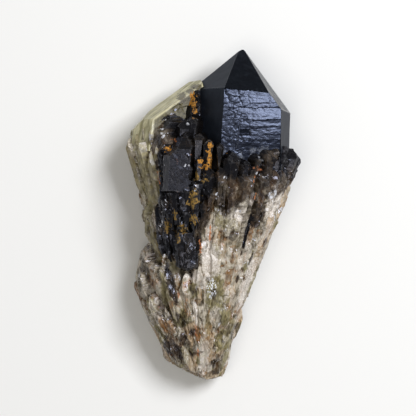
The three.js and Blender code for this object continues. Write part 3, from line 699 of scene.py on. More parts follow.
def splinterRelief(points, share):
    # long fibres and channels along the fan, and chips whose planes tilt at random: noise that is narrow
    # across the fan and long along it. Returns the height, the chips' traits and where the channels are.
    s = cluster["splinters"]
    u, w, along = fanCoordinates(points)

    def onFan(name):
        depth, wide, long = s[name]
        return depth, np.stack([u / wide, w / wide, along / long], 1)
    depth, place = onFan("fibre")
    fibre = depth * layeredNoise(place, 11)
    depth, place = onFan("channel")
    channel = smoothStep(0.16, 0.0, np.abs(smoothNoise(place, 23)))
    height = -depth * channel
    bend = 0.25 * smoothNoise(points / 3.0, 29)
    depth, place = onFan("chip")
    tilt, traits = chips(place + bend[:, None] * (1, 0, 1), 31)
    height += depth * np.clip(tilt, -0.8, 0.35)
    depth, place = onFan("chiplet")
    height += depth * np.clip(chips(place, 37)[0], -0.9, 0.5)
    grain = s["grain"][0] * smoothNoise(points / s["grain"][1], 41)
    rough = 0.3 + 0.9 * smoothStep(-0.3, 0.3, smoothNoise(points / 6.0, 43))
    # the crown's crystals are more worn low down and on the right
    worn = np.maximum(smoothStep(16, 9, points[:, 1]), 0.7 * smoothStep(2, 9, points[:, 0]))
    least = 0.6 * (share > 0)
    share = share * rough + 0.6 * ((share > 0.12) & (share < 0.3)) * rough * worn * frontShare(points)
    return share * height + np.maximum(share, least) * fibre + grain, traits, channel


def stepsInside(buried, most):
    # how many cells of the grid each buried cell lies from the nearest open one: one more than the
    # smallest of its four neighbours
    steps = np.where(buried, most, 0)
    for step in range(most, 0, -1):
        padded = np.concatenate([steps[:1], steps, steps[-1:]])
        nearest = np.minimum.reduce([padded[:-2], padded[2:], np.roll(steps, 1, 1), np.roll(steps, -1, 1)])
        steps = np.where(buried, np.minimum(steps, nearest + 1), 0)
    return steps


def makeCluster():
    # casts the rays, sinks what the larger crystals cover, sharpens the corners and adds the relief
    s = cluster
    crystals = clusterCrystals()
    origins, directions = wrapSpine(clusterSpine, s)
    reach, normals, which = raySurface(crystals, origins, directions)
    # under the head and the side crystal the surface sinks away from their skins
    larger = [facedCrystal(head["crystal"], "head"), facedCrystal(side["crystal"], "side")]
    skin, _, _ = raySurface(larger, origins, directions)
    buried = skin > reach
    sunk = skin - s["underSkin"] - s["sinking"] * stepsInside(buried, s["mostCells"])
    reach = np.where(buried, np.maximum(reach, sunk), reach)
    normals[buried] = 0
    points, normals, which = sharpCorners(origins + directions * reach[..., None], normals, which, reach)
    flat, which = points.reshape(-1, 3), which.ravel()
    kinds = np.array([crystal["kind"] for crystal in crystals])[which]
    share = np.array([s["splinters"]["share"].get(kind, 1.0) for kind in kinds]) * ~buried[:-1].ravel()
    relief, traits, channel = splinterRelief(flat, share)
    groove = markField(flat, "groove", 0.15)
    flat = flat + normals.reshape(-1, 3) * (relief - groove)[:, None]
    flat[:, 2] = np.maximum(flat[:, 2], 0.0)
    grid = flat.reshape(points.shape)
    values = clusterAttributes(flat, kinds, which, traits, channel, groove)
    # hollows, which the material paints darker: painted shade, partly dirt
    values["cavity"] = np.clip(cavity(grid, normals, s["hollows"][0]).ravel() / s["hollows"][1], -1, 1)
    # convex edges, which the material paints lighter: a painted highlight, partly worn edges
    values["edge"] = np.clip(-cavity(grid, normals, s["edges"][0]).ravel() / s["edges"][1], 0, 1)
    return gridMesh("quartz_cluster", insideBox(grid), values, s["sharpAngle"])


def clusterAttributes(points, kinds, which, traits, channel, groove):
    # soft fields from 0 to 1 that the material breaks up into patches. Smoke rises across its edge, which
    # noise shifts; each kind of crystal has its own share of it, and the marks are laid over that.
    share, smokeEdge, blackEdge = cluster["smoke"], cluster["smokeEdge"], cluster["blackEdge"]
    front = frontShare(points)
    x, y, z = points.T
    edge = np.interp(x, smokeEdge["x"], smokeEdge["y"]) * front + smokeEdge["back"] * (1 - front)
    drift = 4.5 * layeredNoise(points / 5.0, 71)
    drift += 3.0 * layeredNoise(np.stack([x / 1.6, y / 4.5, z / 1.6], 1), 73)
    smoke = smoothStep(-smokeEdge["blend"], smokeEdge["blend"], y - edge + drift)
    tone = hashed(which, which * 0, which * 0, 5)
    fade = smoothStep(-9, 3, y - edge + drift)
    least, added = share["crown"]
    left = 0.12 * smoothStep(0, -4, x)
    crown = np.isin(kinds, ["crown", "druse", "joint"]) * (least + left + added * tone) * fade
    smoke = np.maximum(smoke * (0.68 + 0.32 * tone), crown)
    least, added = share["dark"]
    smoke = np.maximum(smoke, (kinds == "dark") * (least + added * tone) * fade)
    black = np.isin(kinds, ["darkBlock", "blackEnd", "block"])
    least, added = share["black"]
    smoke = np.where(black, least + added * traits[:, 1], smoke)
    smoke = np.where(np.isin(kinds, ["rib", "leftCore"]), share["rib"], smoke)
    least, added = share["hump"]
    smoke = np.where(np.isin(kinds, ["hump", "humpShoulder"]), least + added * traits[:, 1], smoke)
    above = smoothStep(-4, 4, y + drift - np.interp(x, blackEdge["x"], blackEdge["y"]) * front)
    smoke = np.minimum(smoke, share["brown"] + 0.4 * np.maximum(above, black))
    veil = np.maximum(markField(points, "veil", 0.5), 0.55 * smoothStep(0.62, 0.95, traits[:, 2]))
    cloud = (share["cloud"] - 0.3 * veil) * smoothStep(0.1, 0.45, layeredNoise(points / 6.5, 79))
    smoke = np.maximum(np.maximum(smoke, cloud), markField(points, "smoke", 0.35))
    # the grooves are painted dark too: painted shade in the crevices
    smoke = np.maximum(smoke + 0.18 * (traits[:, 0] - 0.5), 0.75 * np.minimum(groove, 1))
    olive = np.maximum(markField(points, "olive", 0.4), 0.66 * smoothStep(0.62, 0.9, traits[:, 3]))
    olive = np.maximum(olive, 0.62 * np.isin(kinds, ["rib", "leftCore"]))
    amber = np.maximum(markField(points, "amber", 0.4), 0.6 * smoothStep(0.3, 0.05, traits[:, 3]))
    rusty = 0.5 * channel * smoothStep(0.1, 0.5, smoothNoise(points / 6.0, 83))
    # a low floor for the painted glints, so that a few white flecks show everywhere
    sparkle = 0.5 + 0.2 * smoothStep(0.1, 0.5, layeredNoise(points / 4.0, 89))
    return {"smoke": smoke, "veil": veil * (1 - 0.75 * smoothStep(0.5, 0.9, smoke)), "olive": olive,
            "amber": np.maximum(amber, 0.6 * channel),
            "rust": np.maximum(markField(points, "rust", 0.5), rusty),
            "ochre": markField(points, "ochre", 0.8), "limonite": markField(points, "limonite", 0.8),
            "paintedGlint": np.maximum(markField(points, "paintedGlint", 0.3), sparkle), "tone": tone,
            "fan": np.stack(fanCoordinates(points), 1)}


# What the head and the side crystal have in common


def axisSpine(tip):
    # the line through a crystal's tip along its long axis
    axis = unit(lattice["headAxis"])

    def spine(y):
        return np.asarray(tip, float) + axis * ((y - tip[1]) / axis[1])[:, None]
    return spine


def latticeCoordinates(points):
    # across, along and out of the head's own axes, in millimetres
    return points @ crystalFrame(lattice["headAxis"]).T


def faceShare(points, crystal, face, fade):
    # 1 inside one face, fading to 0 at its edges; with no fade the edges count too
    depth = crystal["offsets"] - points @ crystal["normals"].T
    others = np.delete(depth, face, axis=1).min(1)
    return smoothStep(-0.04, fade, others) * smoothStep(0.09, 0.03, depth[:, face])


def makeConvex(s, kind):
    # one crystal as a grid of rays round its own axis: its planes, and each point with the normal there
    crystal = facedCrystal(s["crystal"], kind)
    origins, directions = wrapSpine(axisSpine(crystal["tip"] + np.array(s["spineShift"])), s)
    reach, normals, which = raySurface([crystal], origins, directions)
    points, normals, _ = sharpCorners(origins + directions * reach[..., None], normals, which, reach)
    return crystal, points, normals


# The head


head = {
    "crystal": {
        "tip": (10.7, 54.75, 15), "length": 42,
        "faces": [(0, 38.2, 0), (60, 38.2, 0), (119, 36, 0), (180, 38.2, 0.5), (239, 44.4, 1),
                  (300, 38.2, 1.4), (0, 0, 11.4), (60, 3, 14.2), (120, 0.5, 13.6), (180, 0, 13),
                  (240, 0, 17), (300, -0.9, 13.2)]},
    # its grid of rays, as the cluster's, and how far the rays' spine lies from the axis through its tip
    "around": 330, "rowStep": 0.24, "low": 15.0, "high": 40.0, "lowCap": 8, "highCap": 90,
    "section": (13, 11), "closerInFront": 1.3, "sharpAngle": 22, "spineShift": (0, 0, 0),
    # the front face, and the faces whose gloss is dulled: face and share
    "frontFace": 6, "dulled": [(7, 1), (11, 1), (1, 0.5), (5, 1)],
    # the front face's bulge: its curve and where it is highest; how far marks wander, over what width and
    # height; the x where the ledges begin and where they have their full depth
    "bulge": (0.0035, 17, 36), "wander": (0.3, 3.5, 2.0), "ledgesFrom": (7.5, 12.5),
    # height and size of the other faces' hills; the y above which the front face is clear, and below which
    # it is full of tiny cracks
    "hills": (0.03, 4.0), "frost": (27.5, 21.5),
    # growth ledges on the front face: y at the top, y at the bottom, tilt in degrees
    "ledges": [(43, 39.4, -1.0), (39.4, 37.0, 1.5), (37.0, 35.4, -0.5), (35.4, 31.4, 4.0),
               (31.4, 30.6, -3.0), (30.6, 29.6, 4.0), (29.6, 28.4, -3.5), (28.4, 26.8, 0.5),
               (26.8, 25.8, -3.0), (25.8, 24.8, 2.0), (24.8, 18, -3.0)],
    # finer steps: spacing and depth
    "steps": [(1.3, 0.026), (0.6, 0.009)],
    # patches: width, height, depth
    "patches": [(3.4, 1.5, 0.05), (1.7, 1.1, 0.028)],
    # scribbles: width, length, slant, depth
    "scribbles": [(0.9, 3.6, 0.1, 0.05), (1.2, 2.8, 0.7, 0.05), (1.3, 2.4, -0.6, 0.05)],
    # the notch: x, y, half sizes, depth
    "notch": (10.6, 27.2, 1.7, 1.0, 0.3),
    # tilted bands: middle x and y, half sizes, tilt in degrees
    "bands": [(10.6, 27.2, 1.7, 0.95, -9), (10.6, 28.6, 1.7, 0.4, 6), (10.4, 25.7, 2.0, 0.4, 6),
              (15.6, 31.9, 2.8, 0.5, 4), (15.4, 38.9, 1.6, 0.3, 6), (13.6, 34.0, 3.4, 0.4, 3),
              (6.2, 32.4, 1.6, 0.4, 6), (16.8, 28.9, 1.6, 0.3, -5)],
    # lines: x and y at both ends, half width, depth
    "lines": [(8.7, 31.2, 7.7, 21.5, 0.13, 0.1), (18.5, 39.5, 18.6, 35.4, 0.12, 0.06),
              (5.0, 30.8, 8.7, 31.2, 0.12, 0.06), (9.6, 35.3, 12.0, 36.9, 0.15, -0.06),
              (12.0, 36.9, 18.4, 37.1, 0.15, -0.04)],
}


def growthRelief(points):
    # a slight bulge, tilted ledges across the face, uneven patches, finer steps, scribbled creases,
    # the notch and the lines
    x, y = points[:, 0], points[:, 1]
    flat = np.zeros(len(points))
    most, wide, tall = head["wander"]
    wander = most * smoothNoise(np.stack([x / wide, y / tall, flat], 1), 91)
    curve, cx, cy = head["bulge"]
    height = -curve * (x - cx) ** 2 - curve * (y - cy) ** 2
    right = smoothStep(*head["ledgesFrom"], x + 4 * wander)
    for top, bottom, tilt in head["ledges"]:
        inside = (y + wander < top) & (y + wander >= bottom)
        height += right * inside * -math.tan(math.radians(tilt)) * (y + wander - (top + bottom) / 2)
    for index, (wide, tall, depth) in enumerate(head["patches"]):
        place = np.stack([x / wide + wander * 2, y / tall + wander * 3, flat], 1)
        height += depth * smoothNoise(place, 95 + index) * (1.15 - 0.65 * right)
    for index, (spacing, depth) in enumerate(head["steps"]):
        phase = (y + 2.0 * wander) / spacing
        patch = smoothStep(-0.1, 0.3, smoothNoise(np.stack([x / 5, y / 2.2, flat], 1), 101 + index))
        height += depth * patch * (phase - np.floor(phase) - 0.5)
    for index, (wide, long, slant, depth) in enumerate(head["scribbles"]):
        place = np.stack([(x + slant * y) / long + wander, (y - slant * x) / wide + 2 * wander, flat], 1)
        crease = np.abs(smoothNoise(place, 111 + index))
        height -= depth * smoothStep(0.22, 0.0, crease) * (1.3 - 0.65 * right)
    cx, cy, halfWide, halfTall, depth = head["notch"]
    rim = np.maximum(np.abs(x - cx) / halfWide, np.abs(y - cy) / halfTall)
    height -= depth * smoothStep(1.15, 0.8, rim)
    for cx, cy, halfWide, halfTall, tilt in head["bands"]:
        inside = smoothStep(1.1, 0.9, np.maximum(np.abs(x - cx) / halfWide, np.abs(y - cy) / halfTall))
        height += inside * -math.tan(math.radians(tilt)) * (y - cy)
    for ax, ay, bx, by, halfWidth, depth in head["lines"]:
        reach = np.array([bx - ax, by - ay])
        t = np.clip(((x - ax) * reach[0] + (y - ay) * reach[1]) / (reach @ reach), 0, 1)
        away = np.hypot(x - ax - t * reach[0] + 0.4 * wander, y - ay - t * reach[1])
        height -= depth * smoothStep(2 * halfWidth, 0, away)
    return height


def makeHead():
    # flat faces at quartz's angles; the front face gets its growth relief, the others low hills
    crystal, points, normals = makeConvex(head, "head")
    shape = points.shape[:2]
    flat, out = points.reshape(-1, 3), normals.reshape(-1, 3)
    striated = faceShare(flat, crystal, head["frontFace"], 0.0)
    flat = flat + crystal["normals"][head["frontFace"]] * (growthRelief(flat) * striated)[:, None]
    rise, size = head["hills"]
    hills = rise * layeredNoise(flat / size, 121)
    flat = flat + out * (hills * (1 - striated))[:, None]
    nick = smoothStep(0.45, 0.75, smoothNoise(flat / 0.9, 127))
    prism = np.max([share * faceShare(flat, crystal, face, 0.3) for face, share in head["dulled"]], axis=0)
    dust = 0.6 * smoothStep(0.1, 0.7, layeredNoise(flat / 1.6, 131)) + 0.4 * nick
    # tiny cracks whiten the foot of the front face
    low = smoothStep(*head["frost"], flat[:, 1] + 2.2 * layeredNoise(flat / 2.5, 133))
    frost = striated * low * smoothStep(-0.35, 0.35, layeredNoise(flat / 1.8, 137))
    values = {"striated": striated, "prism": prism, "dust": dust, "frost": frost,
              "lattice": latticeCoordinates(flat)}
    return gridMesh("head_crystal", insideBox(flat).reshape(*shape, 3), values, head["sharpAngle"])


# The side crystal


side = {
    "crystal": {
        "tip": (-1, 49.1, 12), "length": 30,
        "faces": [(300, 45, 0.5), (240, 45, 0.5), (270, 80, -3.9), (270, 35.2, 6.6), (0, 38.2, 9),
                  (180, 38.2, 8), (270, 0, 24.1), (300, 0, 20.1), (240, 0, 24.8), (0, -2, 7.3),
                  (180, 0, 15.4), (60, 0, 10), (120, 0, 10), (90, 12, -4.6)]},
    # its grid of rays, as the cluster's, and how far the rays' spine lies from the axis through its tip
    "around": 260, "rowStep": 0.4, "low": 18.0, "high": 35.5, "lowCap": 12, "highCap": 66,
    "section": (20, 12), "closerInFront": 1.3, "sharpAngle": 27, "spineShift": (-6, 0, 0),
    # the sloping end face, the broken front, and the faces that the streaks run over
    "slope": 3, "front": 9, "streaked": [0, 3, 7, 9],
    # sizes along, across and into the sloping face; then across, along and out of the crystal
    "streaks": (14, 0.9, 1.2), "chips": (5.0, 2.0, 3.0),
    "lines": (9.0, 0.7, 9.0), "plates": (5.0, 3.2, 5.0),
    "streakDepth": 0.12, "chipDepth": 0.6, "lineDepth": 0.1, "plateDepth": 0.9,
}


def makeSide():
    # streaks and chips on the slope and the front; on its other faces fine growth lines across the long
    # axis, and plates that broke away at their edges
    crystal, points, normals = makeConvex(side, "side")
    shape = points.shape[:2]
    flat, out = points.reshape(-1, 3), normals.reshape(-1, 3)
    # the streaks follow the long edge between the slope and the front
    inward = crystal["normals"][side["slope"]]
    slope = unit(np.cross(crystal["normals"][side["front"]], inward))
    place = np.stack([flat @ slope, flat @ unit(np.cross(inward, slope)), flat @ inward], 1)
    streaks = layeredNoise(place / side["streaks"], 141)
    broken = faceShare(flat, crystal, side["front"], 1.2)
    tilt, _ = chips(place / side["chips"], 151)
    below = crystal["offsets"] - flat @ crystal["normals"].T
    other = smoothStep(0.1, 0.6, below[:, side["streaked"]].min(1))
    own = latticeCoordinates(flat)
    lines = layeredNoise(own / side["lines"], 171)
    plate, _ = chips(own / side["plates"] + 0.2 * smoothNoise(own / 2.0, 177)[:, None], 181)
    plate = side["plateDepth"] * np.clip(plate, -0.7, -0.05) + 0.05 + side["lineDepth"] * lines
    relief = (1 - other) * (side["streakDepth"] * streaks - 0.05) + other * plate
    relief += broken * (side["chipDepth"] * np.clip(tilt, -0.8, 0.1) - 0.1)
    flat = flat + out * relief[:, None]
    splotches = 0.9 * broken * smoothStep(-0.2, 0.5, layeredNoise(flat / 2.4, 161))
    dark = np.maximum(markField(flat, "shade", 0.7), splotches)
    # the pattern's coordinates turn over to the crystal's own on the other faces
    along = place[:, 0] * (1 - other) + (own[:, 0] - own[:, 2]) * 2.0 * other
    across = place[:, 1] * (1 - other) + 1.7 * own[:, 1] * other
    values = {"other": other, "broken": broken, "dark": dark,
              "ochre": markField(flat, "ochre", 0.5), "rust": markField(flat, "rust", 0.5),
              "lattice": np.stack([along, across, place[:, 2]], 1)}
    return gridMesh("side_crystal", insideBox(flat).reshape(*shape, 3), values, side["sharpAngle"])


# Materials


# how much light bends in quartz, the colour that thick smoky quartz keeps, and the blue tint of its
# reflections, bluer on the head: painted light colour that stands in for bluish light
quartz = {"ior": 1.544, "absorption": "#7a6448", "lightTint": "#e2e8ff", "headLightTint": "#d2dfff"}


def linear(hexColour):
    # an sRGB hex colour as linear red, green, blue and 1
    parts = [int(hexColour[k:k + 2], 16) / 255 for k in (1, 3, 5)]
    return [p / 12.92 if p <= 0.04045 else ((p + 0.055) / 1.055) ** 2.4 for p in parts] + [1.0]


def addNode(tree, kind, settings={}, inputs={}):
    # adds a node, sets its properties, and fills or links its inputs
    node = tree.nodes.new("ShaderNode" + kind)
    for key, value in settings.items():
        setattr(node, key, value)
    for key, value in inputs.items():
        if isinstance(value, bpy.types.NodeSocket):
            tree.links.new(value, node.inputs[key])
        else:
            node.inputs[key].default_value = value
    return node


def startMaterial(name):
    # a new node material, its tree and its shader
    material = bpy.data.materials.new(name)
    material.use_nodes = True
    return material, material.node_tree, material.node_tree.nodes["Principled BSDF"]


def field(tree, name, output="Fac"):
    # an attribute of the mesh, as one value or as a vector
    return addNode(tree, "Attribute", {"attribute_name": name}).outputs[output]


def combined(tree, operation, *values):
    # numbers and node outputs multiplied or added, or the first two multiplied and the third added
    return addNode(tree, "Math", {"operation": operation}, dict(enumerate(values))).outputs[0]


def mixed(tree, share, low, high, colour=False):
    # low where the share is 0 and high where it is 1, for values or for colours
    kind, first, output = ("RGBA", 6, 2) if colour else ("FLOAT", 2, 0)
    inputs = {"Factor": share, first: low, first + 1: high}
    return addNode(tree, "Mix", {"data_type": kind}, inputs).outputs[output]


def eased(tree, value, low, high):
    # 0 below low, 1 above high, eased between them
    return addNode(tree, "MapRange", {"interpolation_type": "SMOOTHSTEP"},
                   {"Value": value, "From Min": low, "From Max": high}).outputs[0]


def scaled(tree, name, scale):
    # an attribute's coordinates in millimetres times a pattern's scale
    return addNode(tree, "VectorMath", {"operation": "MULTIPLY"},
                   {0: field(tree, name, "Vector"), 1: scale}).outputs[0]


def stretched(tree, name, across, along):
    # coordinates divided by a pattern's size across and along the splinters or the crystal
    onCrystal, onFan = (1 / across, 1 / along, 1 / across), (1 / across, 1 / across, 1 / along)
    return scaled(tree, name, onCrystal if name == "lattice" else onFan)


def noiseFactor(tree, place, detail, roughness):
    # layered noise from 0 to 1 at coordinates that are already stretched to the pattern's size
    return addNode(tree, "TexNoise", {}, {"Vector": place, "Scale": 1.0, "Detail": detail,
                                          "Roughness": roughness}).outputs["Fac"]


def cellNode(tree, name, size):
    # random cells of a size across and along: a colour for each, and the distance from its middle
    return addNode(tree, "TexVoronoi", {}, {"Vector": stretched(tree, name, *size), "Scale": 1.0})


def makeNoises(tree, name, look):
    # the noises that a look names, by name, over one set of coordinates
    return {key: noiseFactor(tree, stretched(tree, name, across, along), detail, roughness)
            for key, (across, along, detail, roughness) in look["noises"].items()}


def layered(tree, shader, look, noises):
    # lays patches over each other: each sets colour, roughness and transmission where its field plus some
    # noise passes its threshold
    def tinted(dark, light, noise):
        return mixed(tree, eased(tree, noise, 0.3, 0.7), linear(dark), linear(light), colour=True)
    dark, light, inner, roughness, transmission = look["base"]
    colour = tinted(dark, light, noises[inner])
    for name, noise, inner, dark, light, threshold, soft, breakUp, rough, clear, cover in look["layers"]:
        ragged = combined(tree, "MULTIPLY_ADD", noises[noise], breakUp, -breakUp / 2)
        total = combined(tree, "ADD", field(tree, name), ragged)
        share = combined(tree, "MULTIPLY", eased(tree, total, threshold - soft, threshold + soft), cover)
        colour = mixed(tree, share, colour, tinted(dark, light, noises[inner]), colour=True)
        roughness = mixed(tree, share, roughness, rough)
        transmission = mixed(tree, share, transmission, clear)
    tree.links.new(colour, shader.inputs["Base Color"])
    tree.links.new(roughness, shader.inputs["Roughness"])
    tree.links.new(transmission, shader.inputs["Transmission Weight"])


def absorbing(tree, shader, density, lightTint="lightTint"):
    # smoky quartz swallows light on the way through, blue first; its reflections get a blue tint, painted
    # light colour that stands in for bluish light
    shader.inputs["IOR"].default_value = quartz["ior"]
    shader.inputs["Specular Tint"].default_value = linear(quartz[lightTint])
    volume = addNode(tree, "VolumeAbsorption", {}, {"Color": linear(quartz["absorption"]),
                                                    "Density": density})
    output = tree.nodes["Material Output"]
    tree.links.new(volume.outputs[0], output.inputs["Volume"])


def bumped(tree, shader, height, strength, distance):
    # tilts the skin by a height from 0 to 1 that stands for a distance in metres
    bump = addNode(tree, "Bump", {}, {"Strength": strength, "Distance": distance, "Height": height})
    tree.links.new(bump.outputs[0], shader.inputs["Normal"])


# iron oxide in the joints: yellow-brown and orange, earthy and dull; the same values as the layers below
stains = [("ochre", "crusts", "specks", "#4e3c18", "#cc9238", 0.8, 0.12, 2.4, 0.85, 0.0, 0.95),
          ("rust", "crusts", "specks", "#74482a", "#d08a55", 0.76, 0.25, 2.0, 0.8, 0.0, 0.9)]


clusterLook = {
    # noises: size across and along in millimetres, detail, roughness
    "noises": {"fibres": (1.0, 1.7, 4, 0.6), "mottle": (1.2, 1.9, 5, 0.65), "specks": (0.36, 0.5, 3, 0.75),
               "flecks": (0.75, 1.0, 3, 0.7), "crusts": (0.9, 1.1, 4, 0.7), "blotch": (2.0, 3.0, 5, 0.65),
               "growth": (1.0, 1.8, 2, 0.4)},
    # cells for the painted glints, and tiny crystal points: size across and along
    "glints": (0.5, 0.9), "crystalPoints": (0.7, 0.9),
    # dark and light colour, the noise between them, roughness, transmission
    "base": ("#6a6049", "#f1e7d4", "blotch", 0.24, 0.4),
    # laid over it in turn: field, noise at its rim, noise inside it, dark and light colour, threshold,
    # softness, how much the rim is broken up, roughness, transmission, cover
    "layers": [
        # painted shade: darker in the hollows, partly dirt
        ("cavity", "mottle", "fibres", "#3a3022", "#8a7a5c", 0.5, 0.35, 0.6, 0.35, 0.3, 0.75),
        ("tone", "mottle", "fibres", "#8f7a5c", "#d2bda0", 0.75, 0.25, 1.0, 0.2, 0.25, 1.0),
        ("amber", "mottle", "fibres", "#64421f", "#bd8c50", 0.55, 0.2, 0.9, 0.18, 0.4, 0.85),
        ("olive", "mottle", "fibres", "#6b623a", "#b9af7e", 0.5, 0.25, 0.7, 0.5, 0.4, 0.85),
        ("veil", "specks", "specks", "#a09688", "#efe9e2", 0.55, 0.4, 0.9, 0.45, 0.05, 0.9),
        ("smoke", "mottle", "blotch", "#201812", "#5c4b39", 0.42, 0.18, 0.75, 0.24, 0.4, 0.9),
        ("smoke", "specks", "mottle", "#050506", "#14110f", 0.7, 0.14, 0.55, 0.2, 0.4, 0.95),
        ("smoke", "specks", "fibres", "#0a0908", "#171310", 0.95, 0.3, 1.1, 0.5, 0.3, 0.6),
        # painted highlight: lighter on the convex edges, partly wear
        ("edge", "flecks", "specks", "#6d6a66", "#b9b9bb", 0.95, 0.3, 0.7, 0.3, 0.1, 0.16),
        # painted glints: near-white, nearly mirror-smooth flecks
        ("paintedGlint", "glints", "specks", "#a9adb6", "#f4f6fb", 1.14, 0.05, 1.0, 0.08, 0.0, 0.75),
        ("limonite", "crusts", "specks", "#3a331a", "#9c7c38", 0.8, 0.14, 2.4, 0.8, 0.0, 0.95), *stains],
    # absorption's density per metre; the bump's strength and height in metres; the specks' share in it;
    # the painted glints' field above which crystal points stand, and their depth; how smoky a skin is when
    # it begins to get smoother, and how much of the bump it keeps
    "density": 260.0, "bump": (1.0, 0.00014), "speckShare": 0.2, "pointsAbove": 0.68, "pointDepth": 1.6,
    "smoothAbove": 0.5, "smoothShare": 0.35,
}


def clusterMaterial():
    # splintered smoky quartz: grey and olive where it is clear, white where it is full of tiny cracks,
    # near black where it is smoky, with iron stains in the joints; painted shade in its hollows, a painted
    # highlight on its edges, and painted glints
    material, tree, shader = startMaterial("splintered_smoky_quartz")
    noises = makeNoises(tree, "fan", clusterLook)
    glints = cellNode(tree, "fan", clusterLook["glints"]).outputs["Color"]
    noises["glints"] = addNode(tree, "SeparateColor", {}, {"Color": glints}).outputs[0]
    layered(tree, shader, clusterLook, noises)
    absorbing(tree, shader, clusterLook["density"])
    # where the glints are painted, the crystal points stand side by side
    paintedGlint = addNode(tree, "MapRange", {}, {
        "Value": field(tree, "paintedGlint"), "From Min": clusterLook["pointsAbove"]}).outputs[0]
    points = cellNode(tree, "fan", clusterLook["crystalPoints"]).outputs["Distance"]
    spark = combined(tree, "MULTIPLY", points, paintedGlint)
    height = mixed(tree, clusterLook["speckShare"], noises["growth"], noises["specks"])
    height = combined(tree, "MULTIPLY_ADD", spark, -clusterLook["pointDepth"], height)
    # the smoky crystals' own faces are smoother
    smooth = addNode(tree, "MapRange", {}, {
        "Value": field(tree, "smoke"), "From Min": clusterLook["smoothAbove"], "To Min": 1.0,
        "To Max": clusterLook["smoothShare"]}).outputs[0]
    bumped(tree, shader, combined(tree, "MULTIPLY", height, smooth), *clusterLook["bump"])
    return material


headLook = {
    # as the cluster's; the scribble's share in the growth steps, and what the cloud adds as low hills
    "noises": {"cloud": (2.6, 3.4, 4, 0.6), "steps": (3.4, 0.5, 3, 0.5), "scribble": (1.4, 0.7, 4, 0.6),
               "cracks": (0.45, 0.35, 3, 0.75)},
    "base": ("#0a0c0f", "#1b2024", "cloud", 0.1, 0.75),
    "layers": [
        ("dust", "scribble", "cloud", "#12161a", "#2b3136", 0.62, 0.3, 0.6, 0.26, 0.5, 0.6),
        ("prism", "cloud", "cloud", "#0c0f12", "#191e23", 0.5, 0.2, 0.4, 0.5, 0.3, 0.95),
        ("striated", "scribble", "scribble", "#06070c", "#1a1d2e", 0.35, 0.25, 0.3, 0.31, 0.6, 0.95),
        ("frost", "cracks", "cracks", "#1c1e22", "#9da1a8", 0.78, 0.25, 1.3, 0.4, 0.1, 0.7)],
    "density": 800.0, "bump": (1.0, 0.0001), "scribbleShare": 0.6, "hillShare": 0.05,
}


def headMaterial():
    # a clear crystal so smoky that it looks black; growth steps break up the front face's gloss
    material, tree, shader = startMaterial("black_smoky_quartz")
    noises = makeNoises(tree, "lattice", headLook)
    layered(tree, shader, headLook, noises)
    absorbing(tree, shader, headLook["density"], "headLightTint")
    height = mixed(tree, headLook["scribbleShare"], noises["steps"], noises["scribble"])
    height = combined(tree, "MULTIPLY", height, field(tree, "striated"))
    hills = combined(tree, "MULTIPLY_ADD", noises["cloud"], headLook["hillShare"], height)
    bumped(tree, shader, hills, *headLook["bump"])
    return material


sideLook = {
    # as the cluster's
    "noises": {"specks": (0.4, 0.5, 3, 0.75), "mottle": (2.0, 1.2, 4, 0.6), "crusts": (1.2, 1.2, 4, 0.7)},
    # scale along, across and into the sloping face, detail, roughness
    "streak": ((0.07, 0.9, 0.5), 5, 0.6),
    "base": ("#918b64", "#dad4b0", "streak", 0.28, 0.2),
    "layers": [
        ("dark", "mottle", "specks", "#47412f", "#837a5c", 0.5, 0.25, 0.7, 0.3, 0.3, 0.85),
        ("other", "mottle", "mottle", "#8d8761", "#cac39f", 0.5, 0.3, 0.5, 0.2, 0.4, 0.88),
        ("broken", "specks", "specks", "#2e2a1a", "#70684a", 0.55, 0.3, 0.7, 0.6, 0.2, 0.85), *stains],
    "density": 200.0, "bump": (0.4, 0.0005), "speckShare": 0.35,
}


def sideMaterial():
    # cloudy quartz, cream to olive green, streaked along its sloping face
    material, tree, shader = startMaterial("cloudy_quartz")
    noises = makeNoises(tree, "lattice", sideLook)
    scale, detail, roughness = sideLook["streak"]
    noises["streak"] = noiseFactor(tree, scaled(tree, "lattice", scale), detail, roughness)
    layered(tree, shader, sideLook, noises)
    absorbing(tree, shader, sideLook["density"])
    height = mixed(tree, sideLook["speckShare"], noises["streak"], noises["specks"])
    bumped(tree, shader, height, *sideLook["bump"])
    return material


# The studio


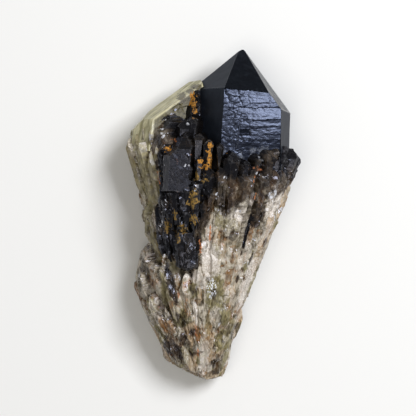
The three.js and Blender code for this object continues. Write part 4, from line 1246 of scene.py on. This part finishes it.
studio = {
    "camera": (-0.00163, 0.00242, 0.716), "sensor": 36, "lens": 182.0,
    # name, direction it comes from, distance, size, power in watts, colour
    "lights": [("key", (0.47, 0.335, 0.815), 0.9, 0.36, 6.8, "#fafbff"),
               ("overhead", (-0.2, -0.15, 1.0), 1.3, 0.7, 4.0, "#fff8ee")],
    # colour and strength of the light all round; colour, size and roughness of the floor
    "world": ("#f2f4f6", 0.3), "floor": ("#dcdcda", 3, 0.9),
}


def makeStudio():
    # a camera straight above that looks down, two soft lamps turned to the middle, and a pale floor
    scene = bpy.context.scene
    scene.view_settings.view_transform = "Standard"
    scene.view_settings.look = "Medium High Contrast"
    camera = bpy.data.objects.new("camera", bpy.data.cameras.new("camera"))
    scene.collection.objects.link(camera)
    camera.location = studio["camera"]
    camera.data.sensor_width = studio["sensor"]
    camera.data.lens = studio["lens"]
    scene.camera = camera
    for name, direction, distance, size, power, colour in studio["lights"]:
        light = bpy.data.objects.new(name, bpy.data.lights.new(name, "AREA"))
        light.data.energy = power
        light.data.size = size
        light.data.color = linear(colour)[:3]
        light.location = Vector(unit(direction) * distance)
        light.rotation_euler = (-light.location).to_track_quat("-Z", "Y").to_euler()
        scene.collection.objects.link(light)
    world = bpy.data.worlds.new("studio")
    world.use_nodes = True
    background = world.node_tree.nodes["Background"]
    background.inputs["Color"].default_value = linear(studio["world"][0])
    background.inputs["Strength"].default_value = studio["world"][1]
    scene.world = world
    colour, size, roughness = studio["floor"]
    bpy.ops.mesh.primitive_plane_add(size=size, location=(0, 0, 0))
    floor = bpy.context.object
    floor.name = "floor"
    paper, _, shader = startMaterial("pale_paper")
    shader.inputs["Base Color"].default_value = linear(colour)
    shader.inputs["Roughness"].default_value = roughness
    floor.data.materials.append(paper)


# Putting it together


makers = ((makeCluster, clusterMaterial), (makeHead, headMaterial), (makeSide, sideMaterial))
for maker, materialMaker in makers:
    piece = maker()
    piece.data.materials.append(materialMaker())
    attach(piece, "root")
    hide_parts("smoky_quartz_crystal")
    print(f"{piece.name}: material and place set")
makeStudio()
print("studio ready")
